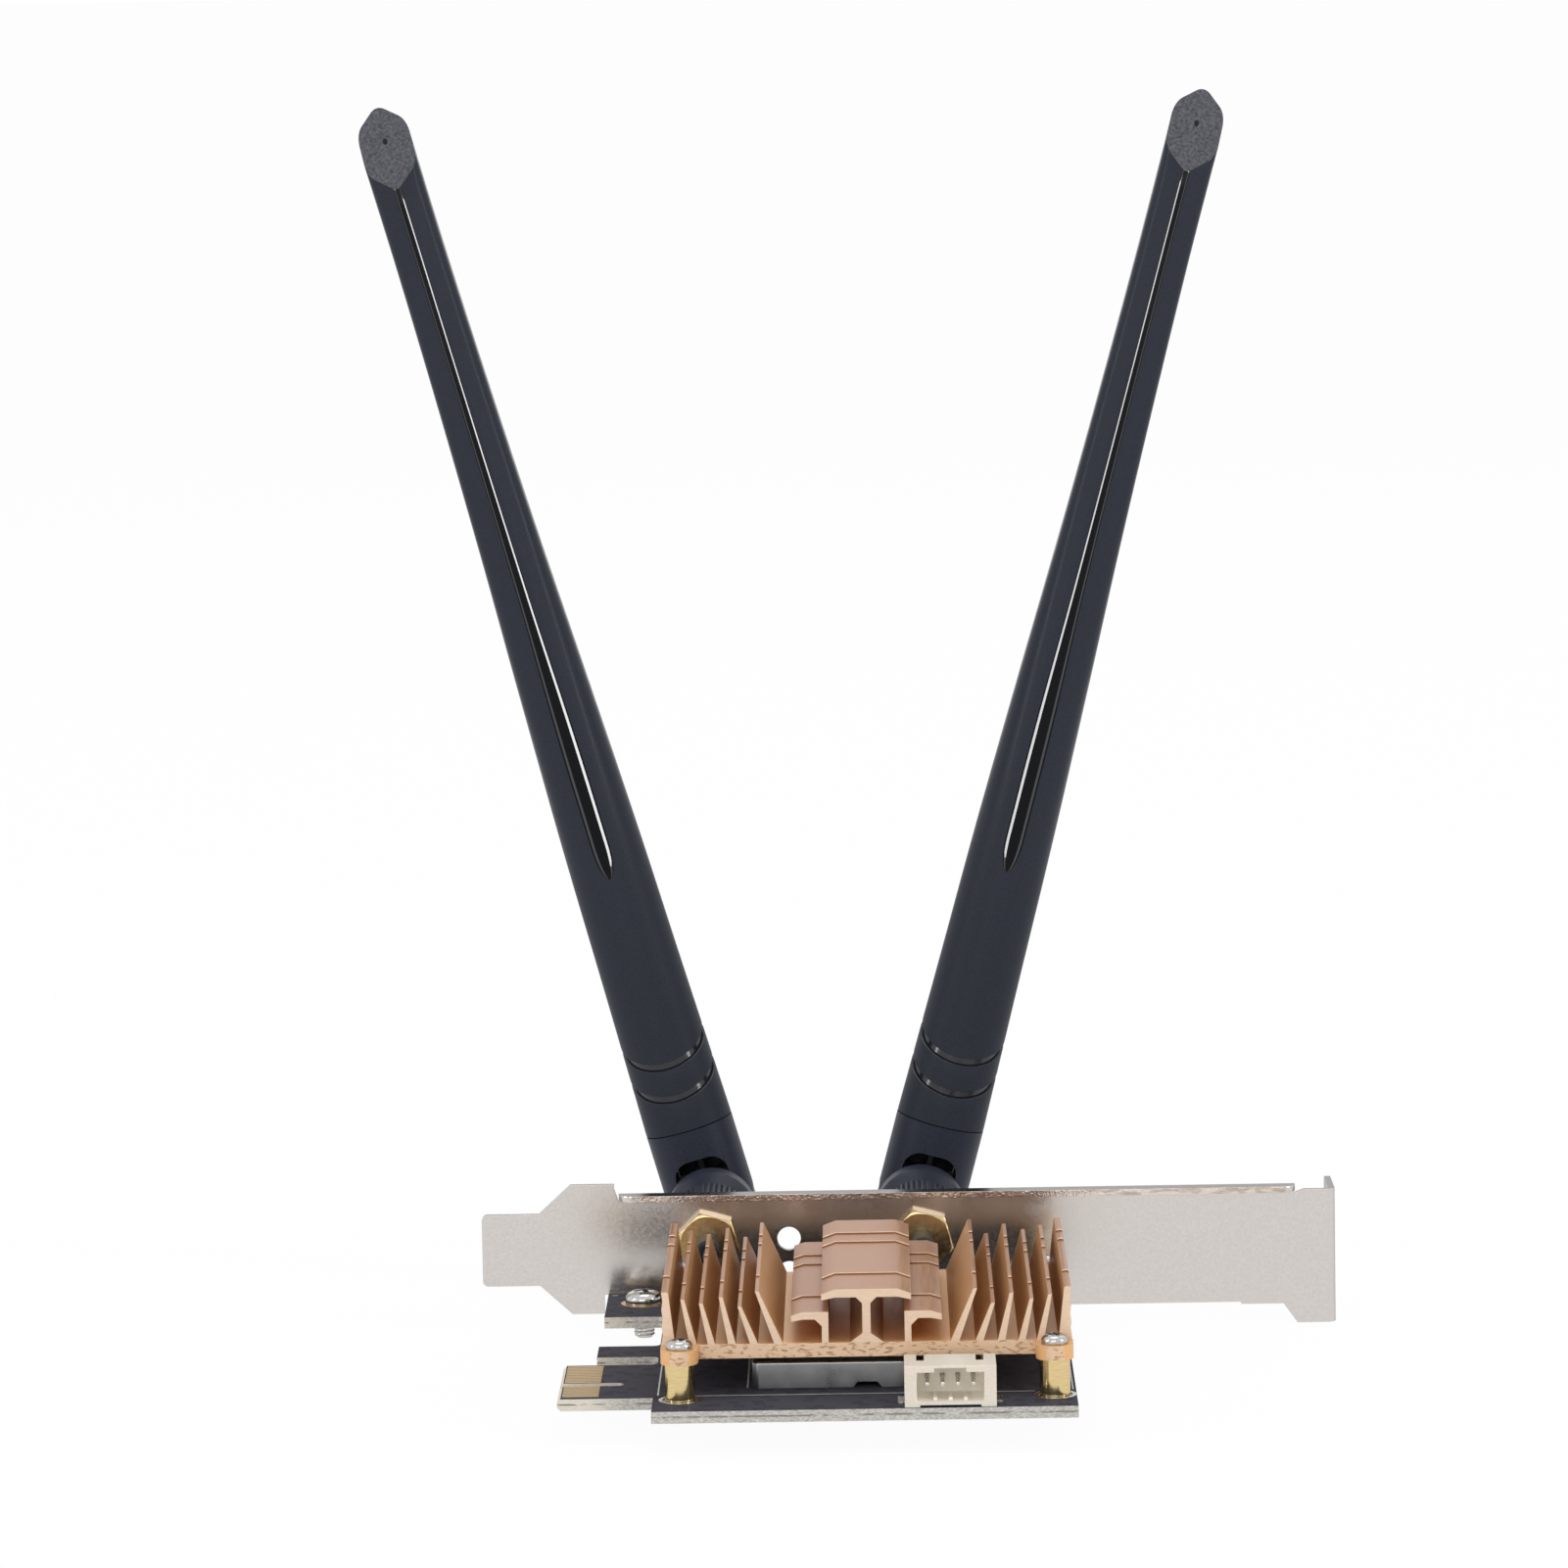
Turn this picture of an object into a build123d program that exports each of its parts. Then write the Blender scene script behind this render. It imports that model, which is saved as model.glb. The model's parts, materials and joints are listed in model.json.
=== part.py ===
from build123d import *
import os
from math import cos, hypot, radians, sin

os.makedirs("parts", exist_ok=True)

# Frame: X runs along the bracket from the card's finger edge, Y from the key's centre towards
# the bracket and the antennas, Z up from the middle of the board's thickness.

# Tolerance for finding an edge or a corner by its place
pick = 0.01

# Circuit board
board_thickness = 1.57
board_left = 12.55
board_width = 55.3
board_front = -17.85
bracket_face = 63.15
board_rear_gap = 0.6
finger_long = 11.65
finger_short = 8.15
finger_bevel = 0.45
key_width = 1.9
key_depth = 8.4
relief_slot = 5.1
relief_radius = 1.0
ear_left = 4.24
ear_length = 7.45
screw_tab_front = 45.3

# Gold contacts of the card edge
contact_pitch = 1.0
contact_width = 0.7
contact_start = 0.6
contact_length = 4.8
contact_thickness = 0.06
contact_key_offset = 1.5
contacts_long = 11
contacts_short = 7

# Bracket
sheet = 0.86
bend_inner = 0.4
bend_relief = 0.2
bracket_tip = -13.46
bracket_length = 120.02
bracket_base = -2.225
tongue_width = 10.19
tongue_length = 8.05
tongue_radius = 0.8
shoulder_start = 12.54
shoulder_end = 18.7
shoulder_width = 18.42
shoulder_step = 0.67
stiffener_start = 19.4
stiffener_end_gap = 5.72
stiffener_top = 17.2
stiffener_depth = 3.0
stiffener_corner = 2.0
end_relief = 1.3
end_top = 16.25
lower_relief = 0.32
lower_relief_gap = 13.32
jog_start_gap = 7.37
jog_end_gap = 5.42
jog_depth = 2.75
jog_radius = 1.2
flange_depth = 11.43
notch_width = 4.42
notch_depth = 5.0
notch_offset = 6.35
vent_diameter = 3.3
vent_x = 29.75
vent_heights = (5.47, 10.37)

# Board tabs of the bracket and their screws
tab_width = 10.0
tab_depth = 13.0
tab_relief = 0.8
tab_x = (9.43, 61.2)
long_edge_share = 0.9
tab_screw_inset = 8.0
screw_shank = 2.9
screw_clearance = 0.25
thread_clearance = 0.05
screw_head = 5.2
screw_head_height = 1.9
screw_below_board = 3.2
crown_share = 0.45
recess_depth_share = 0.6
recess_length_share = 0.56
recess_width_share = 0.16

# Heatsink extrusion
heatsink_x = 40.59
heatsink_front = -7.93
heatsink_length = 49.5
heatsink_base = 1.89
heatsink_half_width = 26.85
standoff_height = 4.86
fin_tip = 0.5
fin_root_sink = 0.5
# Each fin: where its root starts as a share of the field from the L rib to the outer fin,
# thickness at its root, how far its tip leans out, height above the base
fins = (
    (0.072, 1.15, 3.31, 6.94),
    (0.286, 1.05, 2.35, 4.97),
    (0.477, 1.0, 1.88, 6.25),
    (0.655, 0.95, 1.78, 5.45),
    (0.8125, 0.95, 1.8, 6.0),
)
outer_fin_thickness = 1.8
outer_fin_lean = 0.51
outer_fin_height = 6.94
outer_fin_waves = 3
outer_fin_wave_depth = 0.25
outer_fin_bead_drop = 0.1
cap_half_width = 5.87
cap_top = 7.07
cap_thickness = 1.1
cap_slope_run = 1.8
cap_slope_drop = 0.65
cap_end_thickness = 0.82
stem_half_width = 0.55
stem_foot = 2.2
stem_foot_height = 1.2
stem_gusset = 0.8
ell_inner = 4.97
ell_wall = 0.88
ell_reach = 9.85
ell_top = 4.1
ell_thickness = 1.0
ell_slope_run = 1.45
ell_slope_drop = 0.47
ell_end_thickness = 0.8
ell_gusset = 0.9
stop_marks = (10.3, 32.8, 39.3)
stop_mark_width = 0.35
stop_mark_depth = 0.22
lug_radius = 2.45
lug_inset = 2.4
lug_reach = 2.52
lug_hole_clearance = 0.15

# Standoffs and their screws
standoff_diameter = 3.95
standoff_spigot = 2.8
spigot_clearance = 0.05
small_shank = 1.9
small_head = 3.5
small_head_height = 1.3
small_screw_length = 4.5

# Shield can, thermal pad and the parts on the board
can_width = 30.3
can_length = 30.0
can_height = 3.68
can_sheet = 0.25
can_corner = 0.9
can_front = -4.2
can_notch_bottom = 3.75
can_notch_top = 2.55
can_notch_height = 0.73
pad_size = 24.0
chip_size = (10.0, 12.0, 1.1)
chip_spot = (0.0, 12.0)
socket_base = (3.0, 2.6, 0.35)
socket_ring = 2.0
socket_ring_wall = 0.15
socket_height = 1.25
socket_pin = 0.5

# Side-entry header at the board's front edge
header_centre = 51.34
header_width = 11.9
header_depth = 7.6
header_height = 5.5
header_setback = 0.1
header_rear_wall = 1.0
header_floor = 0.77
cavity_width = 8.73
cavity_height = 3.82
key_slot_width = 4.13
key_slot_height = 0.55
header_foot_gap = 0.3
header_foot_width = 2.0
top_notch_width = 1.0
top_notch_depth = 4.0
header_pin = 0.5
header_pin_pitch = 2.0
header_pin_count = 4
header_pin_height = 2.9
header_pin_clearance = 0.03
header_pin_tail = 1.7
floor_bump = 0.5
floor_bump_height = 0.35
floor_bump_length = 3.0
anchor_thickness = 0.4
anchor_length = 3.4
anchor_height = 3.2
anchor_rear = 1.6
anchor_foot = 0.9
anchor_foot_thickness = 0.3
anchor_clearance = 0.03

# Antenna jacks on the bracket
jack_x = (18.44, 48.44)
jack_height = 7.775
thread_diameter = 6.35
bracket_hole_clearance = 0.12
hex_across = 8.0
hex_thickness = 2.0
hex_chamfer = 0.35
hex_turn = 15.0
jack_reach = 11.0
jack_bore = 4.6
jack_bore_depth = 7.0
insulator_length = 3.0
contact_diameter = 0.92
contact_reach = 5.0
crimp_diameter = 2.4
crimp_length = 4.5
boot_diameter = 3.4
boot_length = 6.2
slip_clearance = 0.03
washer_diameter = 10.0
washer_thickness = 0.55
washer_teeth = 12
washer_tooth_width = 0.7
washer_tooth_depth = 0.9
jack_nut_thickness = 2.2

# Pigtails from the jacks to the sockets on the board
cable_diameter = 1.37
pigtail_steps = ((0.0, -11.5), (2.06, -16.65), (5.2, -21.4), (8.2, -25.9))
pigtail_drops = (0.0, 0.74, 1.0, 1.0)
plug_axis_height = 1.45
plug_ahead = 2.6
plug_diameter = 2.7
plug_height = 1.3
plug_lift = 0.6
ferrule_diameter = 1.9
ferrule_length = 3.0
cable_in_ferrule = 1.5
tangent_share = 0.45

# Coupling nuts
nut_start = 4.1
nut_end = 16.5
nut_diameter = 11.4
nut_rim = 0.7
nut_rim_drop = 0.35
nut_ridges = 44
ridge_depth = 0.3
nut_wall_start = 12.7
nut_shaft_clearance = 0.08
nut_thread_clearance = 0.06

# Plug bodies: a flanged stem that holds the coupling nut on the knuckle
flange_start = 11.1
stem_flange = 5.9
stem_flange_length = 1.5
stem_diameter = 5.0
stem_grip = 4.0

# Knuckles: a collar on the stem and a tongue at the hinge
collar_start = 16.8
collar_nose = 10.4
collar_diameter = 13.0
collar_cone = 3.0
collar_round = 0.5
collar_hinge_gap = 7.1
tongue_thickness = 7.4
tongue_half_height = 5.0
feed_bore = 2.0
feed_slot_clearance = 0.3
insert_diameter = 4.4
insert_length = 3.6
insert_socket_clearance = 0.09

# Antennas: yoke, hinge pins, tapered sleeve and the radiator inside
hinge_distance = 31.0
leans = (-15.9, 15.1)
yoke_radius = 6.4
yoke_top = 12.0
yoke_end_radius = 7.0
yoke_end_rise = 0.7
slot_side_clearance = 0.2
slot_top = 7.7
slot_corner = 2.6
slot_back = 5.3
hinge_pin_diameter = 3.0
hinge_pin_clearance = 0.05
hinge_pin_grip = 1.6
hinge_pin_end = 6.2
press_clearance = 0.01
spigot_radius = 4.2
spigot_length = 4.0
antenna_length = 165.0
tip_rise = 11.0
tip_over = 4.0
seam = 0.1
# Sections of the sleeve: share of the way from the seam to past the tip, half width across
# its flats, corner radius as a share of that
sections = (
    (0.0, 6.39, 0.985),
    (0.14, 6.0, 0.985),
    (0.28, 5.68, 0.95),
    (0.42, 5.1, 0.8),
    (0.56, 4.42, 0.6),
    (0.7, 3.97, 0.42),
    (0.84, 3.73, 0.28),
    (1.0, 3.8, 0.2),
)
ring_distances = (20.4, 25.2)
ring_tilt = 28.0
ring_width = 1.0
ring_depth = 0.45
strip_start = 51.0
strip_wide = 1.8
strip_narrow = 0.7
strip_depth = 0.22
gate_diameter = 0.65
gate_depth = 0.5
gate_distance = 7.7
sleeve_bore = 60.0
sleeve_solid_tip = 25.0
sleeve_bore_tip = 2.2
feed_cable = 1.8
feed_start = 1.2
dipole_start = 40.0
dipole_tube = 4.4
dipole_tube_length = 36.0
dipole_wire = 1.2
dipole_wire_length = 30.0

# Places worked out from the sizes above
board_top = board_thickness / 2
board_bottom = -board_thickness / 2
board_right = board_left + board_width
board_rear = bracket_face - board_rear_gap
finger_rear = key_width / 2 + finger_long
finger_front = -key_width / 2 - finger_short
ear_front = finger_rear + relief_slot
ear_rear = ear_front + ear_length
bracket_outer = bracket_face + sheet
flange_outer = bracket_tip + bracket_length
stiffener_end = bracket_length - stiffener_end_gap
lower_relief_end = bracket_length - lower_relief_gap
jog_start = bracket_length - jog_start_gap
jog_end = bracket_length - jog_end_gap
tab_screw_y = bracket_face - tab_screw_inset
tab_screws = [(x, tab_screw_y) for x in tab_x]
heatsink_rear = heatsink_front + heatsink_length
heatsink_under = board_top + standoff_height
base_top = heatsink_under + heatsink_base
lug_offset = heatsink_half_width - lug_inset
lug_spots = [
    (heatsink_x + side * lug_offset, y)
    for y in (heatsink_front - lug_reach, heatsink_rear + lug_reach)
    for side in (-1, 1)
]
can_top = board_top + can_height
header_front = board_front + header_setback
header_rear = header_front + header_depth
hinge_y = bracket_face + hinge_distance
sleeve_start = yoke_top + seam
sleeve_span = antenna_length + tip_over - sleeve_start
stations = [(sleeve_start + share * sleeve_span, width, corner) for share, width, corner in sections]
sides = (("left", jack_x[0], leans[0], 1), ("right", jack_x[1], leans[1], -1))


def upright(y):
    """Plane across the card at a given Y: its own x is X and its own y is Z."""
    return Plane.XZ.offset(-y)


def on_axis(x, distance):
    """Plane square to a jack's axis, facing outwards, measured from the bracket's inner face."""
    return Plane(origin=(x, bracket_face + distance, jack_height), x_dir=(-1, 0, 0), z_dir=(0, 1, 0))


def antenna_base(x, lean):
    """Plane at the hinge, square to the leaning antenna: x across it, y outwards."""
    tilt = radians(lean)
    return Plane(
        origin=(x, hinge_y, jack_height),
        x_dir=(cos(tilt), 0, -sin(tilt)),
        z_dir=(sin(tilt), 0, cos(tilt)),
    )


def hinge_side(base):
    """Plane through the hinge, square to the hinge pins: x outwards, y along the antenna."""
    return Plane(origin=base.origin, x_dir=base.y_dir, z_dir=base.x_dir)


def antenna_front(base, depth):
    """Plane facing the bracket, a depth behind the antenna's axis: y along the antenna."""
    return Plane(origin=base.origin + base.y_dir * depth, x_dir=base.x_dir, z_dir=-base.y_dir)


def save(piece, name):
    """Label a finished piece and write it to its file."""
    piece.label = name
    export_step(piece, f"parts/{name}.step")


# Bracket: one folded sheet
def from_tip(x):
    return bracket_tip + x


def from_base(z):
    return bracket_base + z


tongue_low = from_base((shoulder_width - tongue_width) / 2)
tongue_high = tongue_low + tongue_width
stiffener_z = from_base(stiffener_top)
bend_outer = bend_inner + sheet
jog_low = from_base(-jog_depth)
bracket_outline = [
    (bracket_tip, tongue_low),
    (from_tip(tongue_length), tongue_low),
    (from_tip(shoulder_start), bracket_base),
    (from_tip(stiffener_start), bracket_base),
    (from_tip(stiffener_start), from_base(lower_relief)),
    (from_tip(lower_relief_end), from_base(lower_relief)),
    (from_tip(lower_relief_end), bracket_base),
    (from_tip(jog_start), bracket_base),
    (from_tip(jog_end), jog_low),
    (flange_outer, jog_low),
    (flange_outer, from_base(end_top)),
    (from_tip(stiffener_end + end_relief), from_base(end_top)),
    (from_tip(stiffener_end), stiffener_z - bend_outer - bend_relief),
    (from_tip(stiffener_end), stiffener_z),
    (from_tip(stiffener_start), stiffener_z),
    (from_tip(stiffener_start), stiffener_z - bend_outer - bend_relief),
    (from_tip(shoulder_end), from_base(shoulder_width - shoulder_step)),
    (from_tip(shoulder_end), from_base(shoulder_width)),
    (from_tip(shoulder_start), from_base(shoulder_width)),
    (from_tip(tongue_length), tongue_high),
    (bracket_tip, tongue_high),
]
tab_low = board_bottom - sheet
notch_y = bracket_face + notch_offset
notch_z = jog_low + notch_depth


def is_long(edge):
    """Edges along the bracket that are as long as a tab or longer."""
    run = edge.tangent_at(0)
    return abs(run.X) > 1 - pick and edge.length > long_edge_share * tab_width


with BuildPart() as bracket:
    with BuildSketch(upright(bracket_face)) as plate:
        with BuildLine():
            Polyline(*bracket_outline, close=True)
        make_face()
        fillet(plate.vertices().group_by(Axis.X)[0], tongue_radius)
        for x in tab_x:
            with Locations((x, (tab_low + jog_low) / 2)):
                Rectangle(tab_width, tab_low - jog_low, mode=Mode.SUBTRACT)
            relief_high = board_bottom + bend_outer
            with Locations((x, (relief_high + jog_low) / 2)):
                with Locations((-(tab_width + tab_relief) / 2, 0), ((tab_width + tab_relief) / 2, 0)):
                    Rectangle(tab_relief, relief_high - jog_low, mode=Mode.SUBTRACT)
        with Locations(*[(x, jack_height) for x in jack_x]):
            Circle(thread_diameter / 2 + bracket_hole_clearance, mode=Mode.SUBTRACT)
        with Locations(*[(vent_x, from_base(z)) for z in vent_heights]):
            Circle(vent_diameter / 2, mode=Mode.SUBTRACT)
    extrude(amount=-sheet)
    # The stiffening fold along the top, towards the board
    with BuildSketch(Plane.XY.offset(stiffener_z)) as fold:
        with BuildLine():
            Polyline(
                (from_tip(stiffener_start), bracket_outer),
                (from_tip(stiffener_end), bracket_outer),
                (from_tip(stiffener_end), bracket_face - stiffener_depth),
                (from_tip(stiffener_start), bracket_face - stiffener_depth),
                close=True,
            )
        make_face()
        fillet(fold.vertices().group_by(Axis.Y)[0], stiffener_corner)
    extrude(amount=-sheet)
    # The tabs under the board
    with BuildSketch(Plane.XY.offset(board_bottom)) as tabs:
        for x in tab_x:
            with Locations((x, bracket_outer - (tab_depth + sheet) / 2)):
                Rectangle(tab_width, tab_depth + sheet)
        fillet(tabs.vertices().group_by(Axis.Y)[0], tongue_radius)
        with Locations(*tab_screws):
            Circle(screw_shank / 2 + thread_clearance, mode=Mode.SUBTRACT)
    extrude(amount=-sheet)
    # The end flange, away from the board, with its screw notch
    with BuildSketch(Plane.YZ.offset(flange_outer - sheet)) as flange:
        with BuildLine():
            Polyline(
                (bracket_face, jog_low),
                (bracket_face + flange_depth, jog_low),
                (bracket_face + flange_depth, from_base(end_top)),
                (bracket_face, from_base(end_top)),
                close=True,
            )
        make_face()
        fillet(flange.vertices().group_by(Axis.X)[-1], jog_radius)
        with Locations((notch_y, notch_z)):
            Circle(notch_width / 2, mode=Mode.SUBTRACT)
        with Locations((notch_y, jog_low + notch_depth / 2)):
            Rectangle(notch_width, notch_depth, mode=Mode.SUBTRACT)
    extrude(amount=sheet)
    # Bends
    long_edges = bracket.edges().filter_by(is_long)
    outer_edges = long_edges.filter_by_position(Axis.Y, bracket_outer - pick, bracket_outer + pick)
    top_outer = outer_edges.filter_by_position(Axis.Z, stiffener_z - pick, stiffener_z + pick)
    tab_outer = outer_edges.filter_by_position(Axis.Z, tab_low - pick, tab_low + pick)
    fillet(top_outer + tab_outer, bend_outer)
    long_edges = bracket.edges().filter_by(is_long)
    inner_edges = long_edges.filter_by_position(Axis.Y, bracket_face - pick, bracket_face + pick)
    fold_under = stiffener_z - sheet
    top_inner = inner_edges.filter_by_position(Axis.Z, fold_under - pick, fold_under + pick)
    tab_inner = inner_edges.filter_by_position(Axis.Z, board_bottom - pick, board_bottom + pick)
    fillet(top_inner + tab_inner, bend_inner)
    end_edges = bracket.edges().filter_by(Axis.Z)
    flange_bend = end_edges.filter_by_position(Axis.X, flange_outer - pick, flange_outer + pick)
    fillet(flange_bend.filter_by_position(Axis.Y, bracket_face - pick, bracket_face + pick), bend_outer)
    end_edges = bracket.edges().filter_by(Axis.Z)
    flange_seat = flange_outer - sheet
    flange_root = end_edges.filter_by_position(Axis.X, flange_seat - pick, flange_seat + pick)
    fillet(flange_root.filter_by_position(Axis.Y, bracket_outer - pick, bracket_outer + pick), bend_inner)
save(bracket.part, "bracket")

# Circuit board with its finger block, key, relief slot, ear and screw tab
board_outline = [
    (board_left, board_front),
    (board_right, board_front),
    (board_right, board_rear),
    (ear_left, board_rear),
    (ear_left, screw_tab_front),
    (board_left, screw_tab_front),
    (board_left, ear_rear),
    (ear_left, ear_rear),
    (ear_left, ear_front),
    (board_left, ear_front),
    (board_left, finger_rear),
    (0, finger_rear),
    (0, finger_front),
    (board_left, finger_front),
]
relief_corners = (screw_tab_front, ear_rear, ear_front, finger_rear)

with BuildPart() as circuit_board:
    with BuildSketch(Plane.XY.offset(board_bottom)) as board_face:
        with BuildLine():
            Polyline(*board_outline, close=True)
        make_face()
        inner = board_face.vertices().filter_by_position(Axis.X, board_left - pick, board_left + pick)
        fillet([v for v in inner if any(abs(v.Y - y) < pick for y in relief_corners)], relief_radius)
        key_round = key_width / 2
        with Locations(((key_depth - key_round) / 2, 0)):
            Rectangle(key_depth - key_round, key_width, mode=Mode.SUBTRACT)
        with Locations((key_depth - key_round, 0)):
            Circle(key_round, mode=Mode.SUBTRACT)
        with Locations(*tab_screws):
            Circle(screw_shank / 2 + screw_clearance, mode=Mode.SUBTRACT)
        with Locations(*lug_spots):
            Circle(standoff_spigot / 2 + spigot_clearance, mode=Mode.SUBTRACT)
    extrude(amount=board_thickness)
    chamfer(circuit_board.edges().filter_by(Axis.Y).group_by(Axis.X)[0], finger_bevel)
save(circuit_board.part, "circuit_board")

# Gold contacts on both faces of the finger block
contact_x = contact_start + contact_length / 2
contact_rows = [contact_key_offset + n * contact_pitch for n in range(contacts_long)]
contact_rows += [-contact_key_offset - n * contact_pitch for n in range(contacts_short)]

with BuildPart() as edge_contacts:
    for z, direction in ((board_top, 1), (board_bottom, -1)):
        with BuildSketch(Plane.XY.offset(z)):
            with Locations(*[(contact_x, y) for y in contact_rows]):
                Rectangle(contact_length, contact_width)
        extrude(amount=direction * contact_thickness)
save(edge_contacts.part, "edge_contacts")


def make_screws(spots, seat, head, head_height, shank, length):
    """Pan head screws with a cross recess, all seated at one height."""
    with BuildPart() as screws:
        with BuildSketch(Plane.XY.offset(seat)):
            with Locations(*spots):
                Circle(shank / 2)
        extrude(amount=-length)
        with BuildSketch(Plane.XY.offset(seat)):
            with Locations(*spots):
                Circle(head / 2)
        extrude(amount=head_height)
        crown = screws.edges().filter_by(GeomType.CIRCLE).group_by(Axis.Z)[-1]
        fillet(crown, head_height * crown_share)
        with BuildSketch(Plane.XY.offset(seat + head_height)):
            with Locations(*spots):
                Rectangle(head * recess_length_share, head * recess_width_share)
                Rectangle(head * recess_width_share, head * recess_length_share)
        extrude(amount=-head_height * recess_depth_share, mode=Mode.SUBTRACT)
    return screws.part


screw_length = board_thickness + screw_below_board
save(make_screws(tab_screws, board_top, screw_head, screw_head_height, screw_shank, screw_length),
     "bracket_screws")
save(make_screws(lug_spots, base_top, small_head, small_head_height, small_shank, small_screw_length),
     "heatsink_screws")

# Heatsink: one extrusion, cut to length, with a lug at each corner
def rib(points, side):
    """Outline of one rib on the base, on the right (1) or left (-1) of the middle."""
    return [(heatsink_x + side * x, base_top + z) for x, z in points]


outer_fin_root = heatsink_half_width - outer_fin_thickness
outer_fin_tip = heatsink_half_width - outer_fin_lean
outer_fin_inner_tip = outer_fin_tip - fin_tip
fin_field = outer_fin_root - ell_reach


def fin_middle(share, lean):
    """Middle of a fin's tip, measured from the heatsink's middle."""
    return ell_reach + share * fin_field + lean


def fin_points(share, thickness, lean, height):
    inner = ell_reach + share * fin_field
    outer = inner + thickness
    tip = fin_middle(share, lean)
    half = fin_tip / 2
    return [(inner, -fin_root_sink), (outer, -fin_root_sink), (outer, 0), (tip + half, height),
            (tip - half, height), (inner, 0)]


wave = outer_fin_height / outer_fin_waves
outer_fin_sides = [(heatsink_half_width, -fin_root_sink), (heatsink_half_width, 0)]
for n in range(1, outer_fin_waves + 1):
    outer_fin_sides.append((heatsink_half_width - outer_fin_wave_depth, (n - 0.5) * wave))
    outer_fin_sides.append((heatsink_half_width - outer_fin_bead_drop, n * wave))
outer_fin = outer_fin_sides + [
    (outer_fin_tip, outer_fin_height + outer_fin_bead_drop),
    (outer_fin_inner_tip, outer_fin_height),
    (outer_fin_root, 0),
    (outer_fin_root, -fin_root_sink),
]
cap_end = cap_top - cap_slope_drop
cap_flat = cap_half_width - cap_slope_run
half_t = [
    (0, -fin_root_sink),
    (stem_foot, -fin_root_sink),
    (stem_foot, 0),
    (stem_half_width, stem_foot_height),
    (stem_half_width, cap_top - cap_thickness - stem_gusset),
    (stem_half_width + stem_gusset, cap_top - cap_thickness),
    (cap_flat, cap_top - cap_thickness),
    (cap_half_width, cap_end - cap_end_thickness),
    (cap_half_width, cap_end),
    (cap_flat, cap_top),
    (0, cap_top),
]
ell_end = ell_top - ell_slope_drop
ell_flat = ell_reach - ell_slope_run
ell = [
    (ell_inner, -fin_root_sink),
    (ell_inner + ell_wall, -fin_root_sink),
    (ell_inner + ell_wall, ell_top - ell_thickness - ell_gusset),
    (ell_inner + ell_wall + ell_gusset, ell_top - ell_thickness),
    (ell_flat, ell_top - ell_thickness),
    (ell_reach, ell_end - ell_end_thickness),
    (ell_reach, ell_end),
    (ell_flat, ell_top),
    (ell_inner, ell_top),
]
ribs = [fin_points(*fin) for fin in fins] + [outer_fin, half_t, ell]
# Tops that the stop marks cross: each a run of points along a rib's upper side
marked_tops = []
for share, _, lean, height in fins:
    tip = fin_middle(share, lean)
    marked_tops.append([(tip - fin_tip, height), (tip + fin_tip, height)])
marked_tops.append([(outer_fin_inner_tip, outer_fin_height), (heatsink_half_width, outer_fin_height)])
marked_tops.append([(0, cap_top), (cap_flat, cap_top), (cap_half_width, cap_end)])
marked_tops.append([(ell_inner, ell_top), (ell_flat, ell_top), (ell_reach, ell_end)])

with BuildPart() as heatsink:
    with BuildSketch(upright(heatsink_front)):
        with Locations((heatsink_x, heatsink_under + heatsink_base / 2)):
            Rectangle(2 * heatsink_half_width, heatsink_base)
        for side in (1, -1):
            for points in ribs:
                with BuildLine():
                    Polyline(*rib(points, side), close=True)
                make_face()
    extrude(amount=-heatsink_length)
    for mark in stop_marks:
        with BuildSketch(upright(heatsink_front + mark - stop_mark_width / 2)):
            for side in (1, -1):
                for top in marked_tops:
                    under = [(x, z - stop_mark_depth) for x, z in reversed(top)]
                    above = [(x, z + stop_mark_depth) for x, z in top]
                    with BuildLine():
                        Polyline(*rib(above + under, side), close=True)
                    make_face()
        extrude(amount=-stop_mark_width, mode=Mode.SUBTRACT)
    with BuildSketch(Plane.XY.offset(heatsink_under)):
        with Locations(*lug_spots):
            Circle(lug_radius)
        for x, y in lug_spots:
            inward = 1 if y < heatsink_front else -1
            with Locations((x, y + inward * lug_reach / 2)):
                Rectangle(2 * lug_radius, lug_reach)
    extrude(amount=heatsink_base)
    with BuildSketch(Plane.XY.offset(heatsink_under)):
        with Locations(*lug_spots):
            Circle(small_shank / 2 + lug_hole_clearance)
    extrude(amount=heatsink_base, mode=Mode.SUBTRACT)
save(heatsink.part, "heatsink")

# Round brass standoffs: a spigot through the board and a threaded bore from above
with BuildPart() as standoffs:
    with BuildSketch(Plane.XY.offset(board_top)):
        with Locations(*lug_spots):
            Circle(standoff_diameter / 2)
    extrude(amount=standoff_height)
    with BuildSketch(Plane.XY.offset(board_top)):
        with Locations(*lug_spots):
            Circle(standoff_spigot / 2)
    extrude(amount=-board_thickness)
    with BuildSketch(Plane.XY.offset(heatsink_under)):
        with Locations(*lug_spots):
            Circle(small_shank / 2 + thread_clearance)
    extrude(amount=-standoff_height, mode=Mode.SUBTRACT)
save(standoffs.part, "standoffs")

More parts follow.
